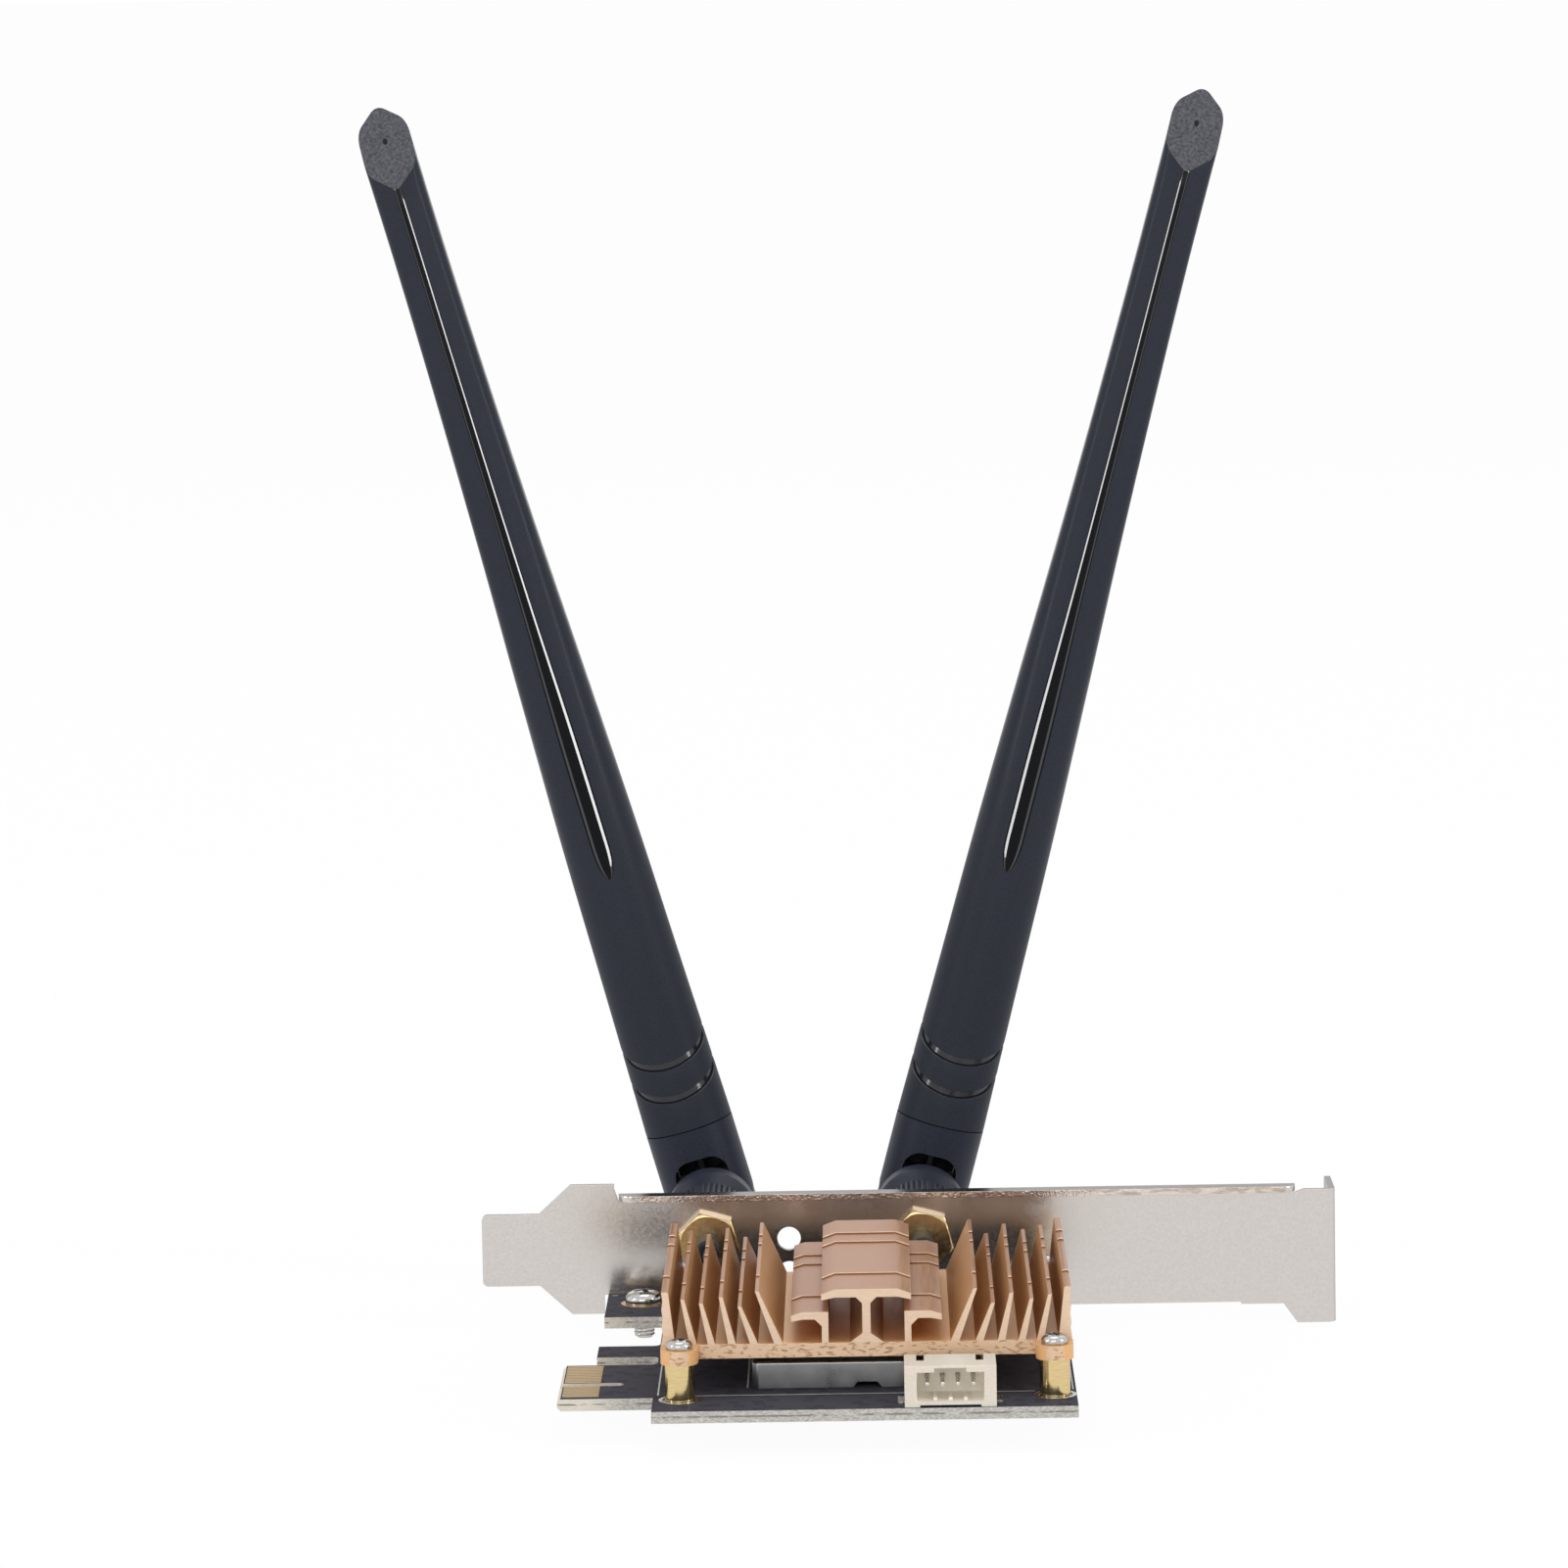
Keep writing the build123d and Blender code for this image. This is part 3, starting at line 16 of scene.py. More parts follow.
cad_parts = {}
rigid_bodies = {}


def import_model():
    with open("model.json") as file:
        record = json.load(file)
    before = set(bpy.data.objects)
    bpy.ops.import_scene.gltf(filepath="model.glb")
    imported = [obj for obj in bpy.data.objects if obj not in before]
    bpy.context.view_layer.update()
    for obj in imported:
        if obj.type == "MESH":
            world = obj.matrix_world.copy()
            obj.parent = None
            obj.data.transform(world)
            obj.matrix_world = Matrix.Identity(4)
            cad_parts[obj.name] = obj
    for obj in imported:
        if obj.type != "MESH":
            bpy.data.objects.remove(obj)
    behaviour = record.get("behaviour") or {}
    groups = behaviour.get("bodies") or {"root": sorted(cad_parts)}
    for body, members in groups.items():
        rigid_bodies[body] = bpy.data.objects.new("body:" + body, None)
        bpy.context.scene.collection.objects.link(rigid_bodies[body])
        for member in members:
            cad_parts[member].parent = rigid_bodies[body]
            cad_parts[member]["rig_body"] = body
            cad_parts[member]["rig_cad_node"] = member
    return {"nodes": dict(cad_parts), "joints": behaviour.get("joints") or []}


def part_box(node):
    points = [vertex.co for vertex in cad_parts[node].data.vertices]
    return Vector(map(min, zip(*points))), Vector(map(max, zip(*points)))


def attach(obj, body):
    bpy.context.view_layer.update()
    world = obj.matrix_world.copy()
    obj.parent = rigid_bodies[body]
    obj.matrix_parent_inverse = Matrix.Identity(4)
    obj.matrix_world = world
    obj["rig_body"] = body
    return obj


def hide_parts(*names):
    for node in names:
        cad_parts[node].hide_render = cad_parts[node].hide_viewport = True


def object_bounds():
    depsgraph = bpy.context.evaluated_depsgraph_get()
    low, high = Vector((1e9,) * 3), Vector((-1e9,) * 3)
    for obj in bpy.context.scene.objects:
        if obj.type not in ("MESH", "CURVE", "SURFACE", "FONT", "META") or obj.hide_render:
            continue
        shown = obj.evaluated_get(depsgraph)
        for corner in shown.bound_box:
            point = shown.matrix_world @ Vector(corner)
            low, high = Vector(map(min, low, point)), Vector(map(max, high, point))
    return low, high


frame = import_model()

MM = 0.001
cad_low, cad_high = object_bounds()
print("nodes:", len(frame["nodes"]), "size in mm:", [round(x / MM, 1) for x in cad_high - cad_low])

# %% [markdown]
# ## Working by hand, in code
# Every operator acts on what is selected, and loading leaves all nodes selected. These helpers
# select one piece, open it in edit mode, and apply a modifier as the Apply button would.

# %% Selecting, editing and applying
def select_only(*pieces):
    bpy.ops.object.select_all(action="DESELECT")
    for piece in pieces:
        piece.select_set(True)
    bpy.context.view_layer.objects.active = pieces[0]


@contextmanager
def editing(piece, everything=True):
    """Edit mode on one piece, with all of it selected or with what was picked before."""
    select_only(piece)
    bpy.ops.object.mode_set(mode="EDIT")
    if everything:
        bpy.ops.mesh.select_all(action="SELECT")
    yield
    bpy.ops.object.mode_set(mode="OBJECT")


def pick(piece, kind, numbers):
    """Selects only these points, edges or faces of a piece, by their numbers."""
    mesh = piece.data
    groups = {"VERT": mesh.vertices, "EDGE": mesh.edges, "FACE": mesh.polygons}
    bpy.context.tool_settings.mesh_select_mode = tuple(name == kind for name in groups)
    for parts in groups.values():
        parts.foreach_set("select", [False] * len(parts))
    for number in numbers:
        groups[kind][number].select = True


def apply_modifier(piece, kind, **settings):
    modifier = piece.modifiers.new(kind.lower(), kind)
    for name, value in settings.items():
        setattr(modifier, name, value)
    select_only(piece)
    bpy.ops.object.modifier_apply(modifier=modifier.name)


def block(size, centre):
    """A box of a size about a centre, both in mm, with its scale and place applied."""
    bpy.ops.object.select_all(action="DESELECT")
    bpy.ops.mesh.primitive_cube_add(size=1.0, location=Vector(centre) * MM)
    piece = bpy.context.object
    piece.scale = Vector(size) * MM
    bpy.ops.object.transform_apply()
    return piece


def smooth(piece, angle=35.0):
    select_only(piece)
    bpy.ops.object.shade_smooth_by_angle(angle=radians(angle))


def settle(piece, body, slot, *nodes):
    """The piece rides on a body and stands for these nodes. Its slot is not used."""
    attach(piece, body)
    if nodes:
        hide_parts(*nodes)
    return piece


bpy.ops.object.select_all(action="DESELECT")
print("helpers ready, nothing selected")

# %% [markdown]
# ## The camera
# The photograph was taken from well in front and a little above, with a long lens. The
# standard sizes of such a bracket and card edge fix where the camera stood, so it is placed by
# its distance and turned by three small angles rather than by eye.

# %% Camera
PHOTO_WIDTH = 1601
FOCAL_PIXELS = 7103.7
SENSOR = 36.0
camera_place = Vector((42.452, -900.909, 188.598)) * MM
camera_yaw, camera_pitch, camera_roll = -0.01273, 0.1198, -0.01783

level = cos(camera_pitch)
ahead = Vector((sin(camera_yaw) * level, cos(camera_yaw) * level, -sin(camera_pitch)))
level_right = Vector((cos(camera_yaw), -sin(camera_yaw), 0))
level_up = level_right.cross(ahead)
right = level_right * cos(camera_roll) + level_up * sin(camera_roll)
up = level_up * cos(camera_roll) - level_right * sin(camera_roll)

camera_data = bpy.data.cameras.new("camera")
camera_data.sensor_width = SENSOR
camera_data.lens = SENSOR * FOCAL_PIXELS / PHOTO_WIDTH
camera_data.clip_end = 100.0
camera = bpy.data.objects.new("camera", camera_data)
bpy.context.scene.collection.objects.link(camera)
turn = Matrix((right, up, -ahead)).transposed().to_4x4()
camera.matrix_world = Matrix.Translation(camera_place) @ turn
bpy.context.scene.camera = camera
print("lens", round(camera_data.lens, 1), "mm")

# %% [markdown]
# ## White studio
# The world is white where the camera, a reflection or a view through glass meets it, and dimmer
# as a source of light, so that the lamps can shape the object. The floor is pale too: most of
# what the camera sees of it is its own white, and the rest is lit, which keeps a soft shadow.

# %% World, floor and lamps
AMBIENT = 0.58
FLOOR_SIZE = 60.0
FLOOR_GLOW = 0.96
FLOOR_PALE = 0.95

bpy.context.scene.view_settings.view_transform = "Standard"


def light_path(tree, *kinds):
    """One where a ray is of any of these kinds, else zero."""
    paths = tree.nodes.new("ShaderNodeLightPath")
    total = paths.outputs[kinds[0]]
    for kind in kinds[1:]:
        adding = tree.nodes.new("ShaderNodeMath")
        adding.operation = "ADD"
        adding.use_clamp = True
        tree.links.new(total, adding.inputs[0])
        tree.links.new(paths.outputs[kind], adding.inputs[1])
        total = adding.outputs[0]
    return total


world = bpy.data.worlds.new("studio")
bpy.context.scene.world = world
world.use_nodes = True
background = world.node_tree.nodes["Background"]
background.inputs["Color"].default_value = (1, 1, 1, 1)
strength = world.node_tree.nodes.new("ShaderNodeMapRange")
strength.inputs["To Min"].default_value = AMBIENT
seen = light_path(world.node_tree, "Is Camera Ray", "Is Glossy Ray", "Is Transmission Ray")
world.node_tree.links.new(seen, strength.inputs["Value"])
world.node_tree.links.new(strength.outputs["Result"], background.inputs["Strength"])

bpy.ops.mesh.primitive_plane_add(size=FLOOR_SIZE, location=(0, 0, cad_low.z))
floor = bpy.context.object
floor.name = "studio_floor"
floor_white = bpy.data.materials.new("floor_white")
floor_white.use_nodes = True
floor_tree = floor_white.node_tree
floor_tree.nodes.remove(floor_tree.nodes["Principled BSDF"])
lit = floor_tree.nodes.new("ShaderNodeBsdfDiffuse")
lit.inputs["Color"].default_value = (FLOOR_PALE, FLOOR_PALE, FLOOR_PALE, 1)
glow = floor_tree.nodes.new("ShaderNodeEmission")
share = floor_tree.nodes.new("ShaderNodeMath")
share.operation = "MULTIPLY"
share.inputs[1].default_value = FLOOR_GLOW
blend_floor = floor_tree.nodes.new("ShaderNodeMixShader")
floor_seen = light_path(floor_tree, "Is Camera Ray", "Is Glossy Ray", "Is Transmission Ray")
floor_tree.links.new(floor_seen, share.inputs[0])
floor_tree.links.new(share.outputs[0], blend_floor.inputs["Fac"])
floor_tree.links.new(lit.outputs["BSDF"], blend_floor.inputs[1])
floor_tree.links.new(glow.outputs["Emission"], blend_floor.inputs[2])
floor_output = floor_tree.nodes["Material Output"]
floor_tree.links.new(blend_floor.outputs["Shader"], floor_output.inputs["Surface"])
floor.data.materials.append(floor_white)

middle = (cad_low + cad_high) / 2
# Each lamp: name, place from the object's middle in metres, width and height, power
lamps = (
    ("front_softbox", (-0.25, -1.5, 0.4), 1.0, 0.8, 4.6),
    ("left_strip", (-1.10, -0.455, 0.42), 0.12, 0.9, 3.4),
    ("right_strip", (1.09, -0.48, 0.42), 0.12, 0.9, 4.2),
    ("back_softbox", (0.2, 1.2, 0.9), 0.9, 0.9, 1.8),
    ("top_softbox", (0.0, 0.1, 1.4), 0.8, 0.8, 4.0),
)
for name, offset, width, height, power in lamps:
    lamp_data = bpy.data.lights.new(name, "AREA")
    lamp_data.shape = "RECTANGLE"
    lamp_data.size, lamp_data.size_y, lamp_data.energy = width, height, power
    lamp = bpy.data.objects.new(name, lamp_data)
    bpy.context.scene.collection.objects.link(lamp)
    place = middle + Vector(offset)
    lamp.location = place
    lamp.rotation_euler = (middle - place).to_track_quat("-Z", "Y").to_euler()
print("lamps:", len(lamps))

# %% [markdown]
# ## A small kit for finishes
# A finish is a shader plus a few patterns: specks that change its colour or gloss, bands at a
# known place, and relief. Patterns read Object coordinates, which are metres here, so a speck's
# size can be given in millimetres.

# %% Finish kit
def colour_of(red, green, blue):
    """A colour as it reads on screen, 0 to 255, as the shader wants it."""
    def linear(value):
        value /= 255
        return value / 12.92 if value <= 0.04045 else ((value + 0.055) / 1.055) ** 2.4
    return linear(red), linear(green), linear(blue), 1.0


def new_finish(name, **sockets):
    """A material whose shader has these sockets set, named in lower case with underscores."""
    finish = bpy.data.materials.new(name)
    finish.use_nodes = True
    shader = finish.node_tree.nodes["Principled BSDF"]
    by_name = {socket.name.lower().replace(" ", "_"): socket for socket in shader.inputs}
    for socket, value in sockets.items():
        by_name[socket].default_value = value
    return finish


def add_node(finish, kind, inputs, **settings):
    node = finish.node_tree.nodes.new("ShaderNode" + kind)
    for name, value in settings.items():
        setattr(node, name, value)
    for name, value in inputs.items():
        if isinstance(value, bpy.types.NodeSocket):
            finish.node_tree.links.new(value, node.inputs[name])
        else:
            node.inputs[name].default_value = value
    return node


def feed(finish, socket, source):
    """Links a pattern to a socket of the finish's shader."""
    finish.node_tree.links.new(source, finish.node_tree.nodes["Principled BSDF"].inputs[socket])


def place_of(finish):
    return add_node(finish, "TexCoord", {}).outputs["Object"]


def specks(finish, size, stretch=(1, 1, 1), detail=2.0):
    """Noise from 0 to 1 with specks of a size in mm, drawn out along X, Y or Z by stretch."""
    scale = [1 / (size * MM * along) for along in stretch]
    mapped = add_node(finish, "Mapping", {"Vector": place_of(finish), "Scale": scale})
    noise = add_node(finish, "TexNoise", {"Vector": mapped.outputs[0], "Scale": 1.0, "Detail": detail})
    return noise.outputs["Fac"]


def spread(finish, source, low, high, start=0.3, end=0.7):
    """Stretches the middle of a pattern's range to run from low to high."""
    limits = {"Value": source, "From Min": start, "From Max": end, "To Min": low, "To Max": high}
    return add_node(finish, "MapRange", limits).outputs["Result"]


def blend(finish, factor, first, second):
    """Mixes two colours or patterns of colour."""
    mixing = add_node(finish, "Mix", {}, data_type="RGBA")
    sockets = {"Factor": 0, "A": 6, "B": 7}
    for name, value in (("Factor", factor), ("A", first), ("B", second)):
        target = mixing.inputs[sockets[name]]
        if isinstance(value, bpy.types.NodeSocket):
            finish.node_tree.links.new(value, target)
        else:
            target.default_value = value
    return mixing.outputs[2]


def sums(finish, operation, first, second=0.0):
    return add_node(finish, "Math", {0: first, 1: second}, operation=operation).outputs[0]


def along(finish, axis):
    """Place along X, Y or Z, in mm."""
    parts = add_node(finish, "SeparateXYZ", {"Vector": place_of(finish)})
    return sums(finish, "MULTIPLY", parts.outputs[axis], 1 / MM)


def band(finish, source, centre, half, soft):
    """One within half of the centre, fading to zero over soft, all in mm."""
    off = sums(finish, "ABSOLUTE", sums(finish, "SUBTRACT", source, centre))
    return spread(finish, off, 1.0, 0.0, half, half + soft)


def relief(finish, height, depth):
    """Bump of a depth in mm, on top of any relief that is there."""
    shader = finish.node_tree.nodes["Principled BSDF"]
    bump = add_node(finish, "Bump", {"Height": height, "Distance": depth * MM, "Strength": 1.0})
    for link in list(shader.inputs["Normal"].links):
        finish.node_tree.links.new(link.from_socket, bump.inputs["Normal"])
    feed(finish, "Normal", bump.outputs["Normal"])


def two_tone(finish, pattern, dark, light, gloss, depth):
    """Gives a finish two tones, a range of gloss and a relief, all from one pattern."""
    tone = blend(finish, spread(finish, pattern, 0, 1), colour_of(*dark), colour_of(*light))
    feed(finish, "Base Color", tone)
    feed(finish, "Roughness", spread(finish, pattern, *gloss))
    relief(finish, pattern, depth)
    return finish


print("finish kit ready")

# %% [markdown]
# ## Plated steel of the bracket
# The bracket is nickel plated and satin: light grey, with a fine speckle, and it mirrors the
# heatsink softly. Seen along its surface it darkens, which the shader's specular tint gives. The
# lip of its fold is a raw cut edge, so it is rougher there, with light and dull spots, and its
# warm beige is a painted reflection of the heatsink.

# %% Bracket finish
LIP_END = 60.35
LIP_FADE = 0.15
bracket_nickel = new_finish("bracket_nickel", metallic=1.0, specular_tint=(0.5, 0.5, 0.52, 1))
speckle = specks(bracket_nickel, 0.28, detail=3.0)
grain_share = spread(bracket_nickel, speckle, 0, 1)
plate = blend(bracket_nickel, grain_share, colour_of(204, 198, 194), colour_of(212, 206, 202))
lip = spread(bracket_nickel, along(bracket_nickel, "Y"), 1.0, 0.0, LIP_END - LIP_FADE, LIP_END)
dull_spots = spread(bracket_nickel, specks(bracket_nickel, 0.5, (4, 1, 1), 3.0), 0, 1, 0.42, 0.62)
# The lip's warm beige is a painted reflection of the heatsink; its spots vary at random
lip_painted_reflection = blend(bracket_nickel, dull_spots, colour_of(220, 208, 198), colour_of(184, 170, 158))
feed(bracket_nickel, "Base Color", blend(bracket_nickel, lip, plate, lip_painted_reflection))
feed(bracket_nickel, "Roughness", spread(bracket_nickel, speckle, 0.15, 0.22))
relief(bracket_nickel, speckle, 0.002)
lip_grain = specks(bracket_nickel, 0.35)
relief(bracket_nickel, sums(bracket_nickel, "MULTIPLY", lip, lip_grain), 0.05)
print("bracket finish ready")

# %% [markdown]
# ## Gold anodised aluminium
# The extrusion was drawn along Y, so its skin has faint streaks that way. Its gold comes in
# three copies that differ by painted light. A brighter one on the floors between the ribs is
# painted light. Darker ones on the rib sides and on their tops, which shine more, are painted
# shade. Its sawn ends are paler, clean on the ribs and pitted along the base. The stops of the
# saw left low ridges across the tops, and their lower walls are painted dark brown as a painted
# shadow line.

# %% Heatsink finishes
heatsink_low, heatsink_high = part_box("heatsink")
HEATSINK_BASE = 1.89
base_top = heatsink_low.z / MM + HEATSINK_BASE


def anodised(name, dark, light, cloud, metallic, edge):
    """Drawn and dyed aluminium. Edge tints what it mirrors when seen along the surface."""
    finish = new_finish(name, metallic=metallic, specular_tint=(*edge, 1))
    streaks = specks(finish, 0.2, stretch=(1, 40, 1), detail=3.0)
    skin = blend(finish, spread(finish, streaks, 0, 1), colour_of(*dark), colour_of(*light))
    cloud_share = spread(finish, specks(finish, 5.0), 0, 0.5)
    feed(finish, "Base Color", blend(finish, cloud_share, skin, colour_of(*cloud)))
    feed(finish, "Roughness", spread(finish, streaks, 0.32, 0.44))
    relief(finish, streaks, 0.005)
    return finish


# Each: name, two tones of the streaks and one of the clouds, share of metal, tint along it
# Painted light: the first copy is brighter for the floors between the ribs, and the side and top copies
# are darker, as painted shade
anodised_skin = anodised("anodised_skin", (222, 170, 116), (232, 184, 130), (226, 172, 116),
                         0.12, (0.6, 0.5, 0.4))
anodised_side = anodised("anodised_side", (188, 140, 94), (200, 154, 108), (190, 140, 92),
                         0.12, (0.6, 0.5, 0.4))
anodised_top = anodised("anodised_top", (186, 138, 98), (200, 153, 114), (193, 143, 102),
                        0.5, (0.42, 0.53, 0.73))

anodised_cut = new_finish("anodised_cut", metallic=0.4)
saw_lines = specks(anodised_cut, 0.25, stretch=(6, 1, 1), detail=4.0)
saw_share = spread(anodised_cut, saw_lines, 0, 1)
cut = blend(anodised_cut, saw_share, colour_of(216, 188, 162), colour_of(226, 200, 174))
on_base = spread(anodised_cut, along(anodised_cut, "Z"), 1, 0, base_top - 0.1, base_top)
pits = spread(anodised_cut, specks(anodised_cut, 0.6, (1.6, 1, 0.7), 3.0), 1, 0, 0.34, 0.46)
base_pits = sums(anodised_cut, "MULTIPLY", pits, on_base)
base_tone = blend(anodised_cut, on_base, cut, colour_of(220, 188, 156))
feed(anodised_cut, "Base Color", blend(anodised_cut, base_pits, base_tone, colour_of(190, 146, 106)))
feed(anodised_cut, "Roughness", spread(anodised_cut, saw_lines, 0.42, 0.56))
relief(anodised_cut, saw_lines, 0.012)
relief(anodised_cut, sums(anodised_cut, "MULTIPLY", base_pits, -1.0), 0.06)
print("heatsink finishes ready, base top at", round(base_top, 2), "mm")

# %% [markdown]
# ## The circuit board
# Solder mask is a thin black lacquer, and faint steps show where copper runs under it. The
# routed edges are bare glass fibre: pale and rough, creamier at the fingers, with a thin broken
# dark line where the layers meet.

# %% Board finishes
COPPER_CELL = 2.4
board_black = new_finish("board_black", specular_ior_level=0.0003)
copper_scale = (1 / (COPPER_CELL * MM),) * 3
copper = add_node(board_black, "Mapping", {"Vector": place_of(board_black), "Scale": copper_scale})
cell_inputs = {"Vector": copper.outputs[0], "Scale": 1.0}
cells = add_node(board_black, "TexVoronoi", cell_inputs, distance="CHEBYCHEV")
steps = spread(board_black, cells.outputs["Distance"], 0, 1, 0.28, 0.34)
feed(board_black, "Base Color", blend(board_black, steps, colour_of(66, 66, 73), colour_of(74, 74, 82)))
feed(board_black, "Roughness", spread(board_black, specks(board_black, 1.2), 0.10, 0.18))
relief(board_black, steps, 0.003)

board_edge = new_finish("board_edge", specular_ior_level=0.3)
fibres = specks(board_edge, 0.3, stretch=(1.5, 1.5, 0.5), detail=3.0)
fibre_share = spread(board_edge, fibres, 0, 1)
pale = blend(board_edge, fibre_share, colour_of(152, 150, 144), colour_of(210, 207, 201))
to_fingers = spread(board_edge, along(board_edge, "X"), 0.7, 0.0, 4.0, 9.0)
pale = blend(board_edge, to_fingers, pale, colour_of(226, 218, 200))
layer_line = band(board_edge, along(board_edge, "Z"), 0.05, 0.07, 0.08)
dashes = spread(board_edge, specks(board_edge, 0.7, (3, 3, 1)), 0, 1, 0.42, 0.55)
broken_line = sums(board_edge, "MULTIPLY", layer_line, dashes)
feed(board_edge, "Base Color", blend(board_edge, broken_line, pale, colour_of(124, 120, 114)))
feed(board_edge, "Roughness", spread(board_edge, fibres, 0.55, 0.8))
relief(board_edge, fibres, 0.05)

silk_white = new_finish("silk_white", specular_ior_level=0.2)
two_tone(silk_white, specks(silk_white, 0.12), (196, 196, 192), (230, 230, 226), (0.5, 0.75), 0.01)
print("board finishes ready")

# %% [markdown]
# ## Plain metals
# Brass standoffs and jacks, nickel screws, tinned pins and the tinned can differ in colour, in
# gloss and in the marks that their making left. One function makes them all: two tones, two
# levels of gloss, and marks of a size and a direction.

# %% Metal finishes
def metal(name, dark, light, gloss, marks, stretch=(1, 1, 1), depth=0.003, edge=0.8):
    """A metal of two tones. Edge is how much of its light it keeps when seen along the surface."""
    finish = new_finish(name, metallic=1.0, specular_tint=(edge, edge, edge, 1))
    return two_tone(finish, specks(finish, marks, stretch, detail=3.0), dark, light, gloss, depth)


TURNED, DRAWN = (14, 14, 1), (10, 1, 1)
standoff_brass = metal("standoff_brass", (212, 188, 134), (226, 204, 152), (0.10, 0.18), 0.10,
                       TURNED, 0.002)
jack_brass = metal("jack_brass", (208, 178, 130), (222, 196, 150), (0.16, 0.26), 0.5, depth=0.001)
screw_nickel = metal("screw_nickel", (178, 177, 175), (202, 201, 199), (0.10, 0.2), 0.25,
                     depth=0.001, edge=0.65)
# Painted shade: a darker copy of the nickel for the faces of a screw's cross recess
recess_dark = metal("recess_dark", (92, 90, 88), (124, 122, 119), (0.25, 0.4), 0.2)
can_tin = metal("can_tin", (144, 144, 145), (156, 156, 156), (0.26, 0.34), 2.5, depth=0.0005, edge=0.55)
tin_pin = metal("tin_pin", (188, 186, 180), (214, 212, 206), (0.2, 0.34), 0.3)
contact_gold = metal("contact_gold", (182, 158, 118), (198, 174, 134), (0.3, 0.42), 0.14, DRAWN, edge=0.62)
# Painted shade: the hinge pins are dark so that the arch of the yoke stays dark
pin_dark = metal("pin_dark", (46, 47, 51), (62, 63, 68), (0.3, 0.42), 0.2)
radiator_brass = metal("radiator_brass", (190, 140, 70), (214, 170, 96), (0.25, 0.4), 0.4)
print("metals ready")

# %% [markdown]
# ## Plastics and rubber
# The header is cream nylon that lets a little light in. The antennas are blue-black plastic:
# satin near the hinge and polished further up, which a number stored along each sleeve tells the
# shader. The cables, boots and chips are duller blacks with a grain of their own.

# %% Plastic finishes
def moulded(name, dark, light, gloss, grain, depth, **sockets):
    finish = new_finish(name, **sockets)
    return two_tone(finish, specks(finish, grain, detail=3.0), dark, light, gloss, depth)


DULL = {"specular_ior_level": 0.3}
header_cream = moulded("header_cream", (214, 206, 192), (224, 217, 204), (0.38, 0.55), 0.3, 0.005,
                       subsurface_weight=0.4, subsurface_scale=1.5 * MM, specular_ior_level=0.4)
# Painted light: a paler copy of the same nylon for the faces inside the header's cavity
header_inside = moulded("header_inside", (248, 240, 226), (253, 247, 235), (0.5, 0.65), 0.3, 0.005)
insulator_white = moulded("insulator_white", (214, 214, 210), (232, 232, 228), (0.4, 0.55), 0.3, 0.004)
pad_grey = moulded("pad_grey", (112, 116, 122), (138, 142, 148), (0.7, 0.9), 0.4, 0.03, **DULL)
chip_black = moulded("chip_black", (34, 34, 36), (48, 48, 50), (0.5, 0.7), 0.15, 0.01, **DULL)
ceramic_tan = moulded("ceramic_tan", (136, 110, 84), (160, 132, 102), (0.4, 0.6), 0.2, 0.005)
# Painted shade: dark brown for the lower walls of the saw-stop ridges, a painted shadow line
mark_brown = moulded("mark_brown", (108, 68, 44), (130, 86, 58), (0.5, 0.65), 0.2, 0.003, **DULL)
boot_black = moulded("boot_black", (22, 23, 27), (36, 37, 42), (0.4, 0.6), 0.3, 0.01, **DULL)
cable_black = moulded("cable_black", (20, 20, 22), (34, 34, 36), (0.35, 0.5), 0.25, 0.01, **DULL)
hinge_black = moulded("hinge_black", (37, 41, 51), (47, 51, 63), (0.36, 0.5), 0.2, 0.006,
                      specular_ior_level=0.12)
tip_black = moulded("tip_black", (51, 52, 58), (97, 97, 104), (0.6, 0.8), 0.42, 0.06, **DULL)
ring_black = moulded("ring_black", (27, 29, 36), (33, 35, 43), (0.12, 0.2), 0.3, 0.004,
                     specular_ior_level=0.5)
# Painted shade: near black for the blade's flat, which stands for a dark reflection, and for the shadow
# line beside its flanks
groove_black = moulded("groove_black", (9, 10, 13), (13, 14, 18), (0.1, 0.16), 0.4, 0.002,
                       specular_ior_level=0.1)
blade_black = moulded("blade_black", (16, 18, 24), (20, 22, 28), (0.05, 0.08), 0.8, 0.001,
                      specular_ior_level=0.8)

SATIN_END, POLISH_START = 48.0, 70.0
antenna_black = new_finish("antenna_black", specular_ior_level=0.06)
grain = specks(antenna_black, 0.2, detail=3.0)
grain_tone = spread(antenna_black, grain, 0, 1)
black = blend(antenna_black, grain_tone, colour_of(44, 47, 55), colour_of(51, 54, 63))
feed(antenna_black, "Base Color", black)
reach = add_node(antenna_black, "Attribute", {}, attribute_name="reach").outputs["Fac"]
satin = spread(antenna_black, reach, 1.0, 0.0, SATIN_END, POLISH_START)
grain_gloss = spread(antenna_black, grain, 0.38, 0.5)
polish_gloss = spread(antenna_black, specks(antenna_black, 2.0), 0.20, 0.26)
gloss = add_node(antenna_black, "Mix", {0: satin, 2: polish_gloss, 3: grain_gloss})
feed(antenna_black, "Roughness", gloss.outputs[0])
relief(antenna_black, sums(antenna_black, "MULTIPLY", satin, grain), 0.008)
print("plastics ready")

# %% [markdown]
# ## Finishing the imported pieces
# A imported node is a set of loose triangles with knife-sharp edges. Real edges are broken a
# little, and that thin line of light is what makes metal look like metal. So each node is
# copied, its doubled points are merged, its flat triangles are dissolved into whole faces, and
# a small bevel runs along every edge. The copy then stands for the node. A piece that needs more
# is shaped further before its normals are weighted.

# %% Copy a node and break its edges
MERGE = 0.002
FLAT_ANGLE = 0.4
BEVEL_ANGLE = 32.0


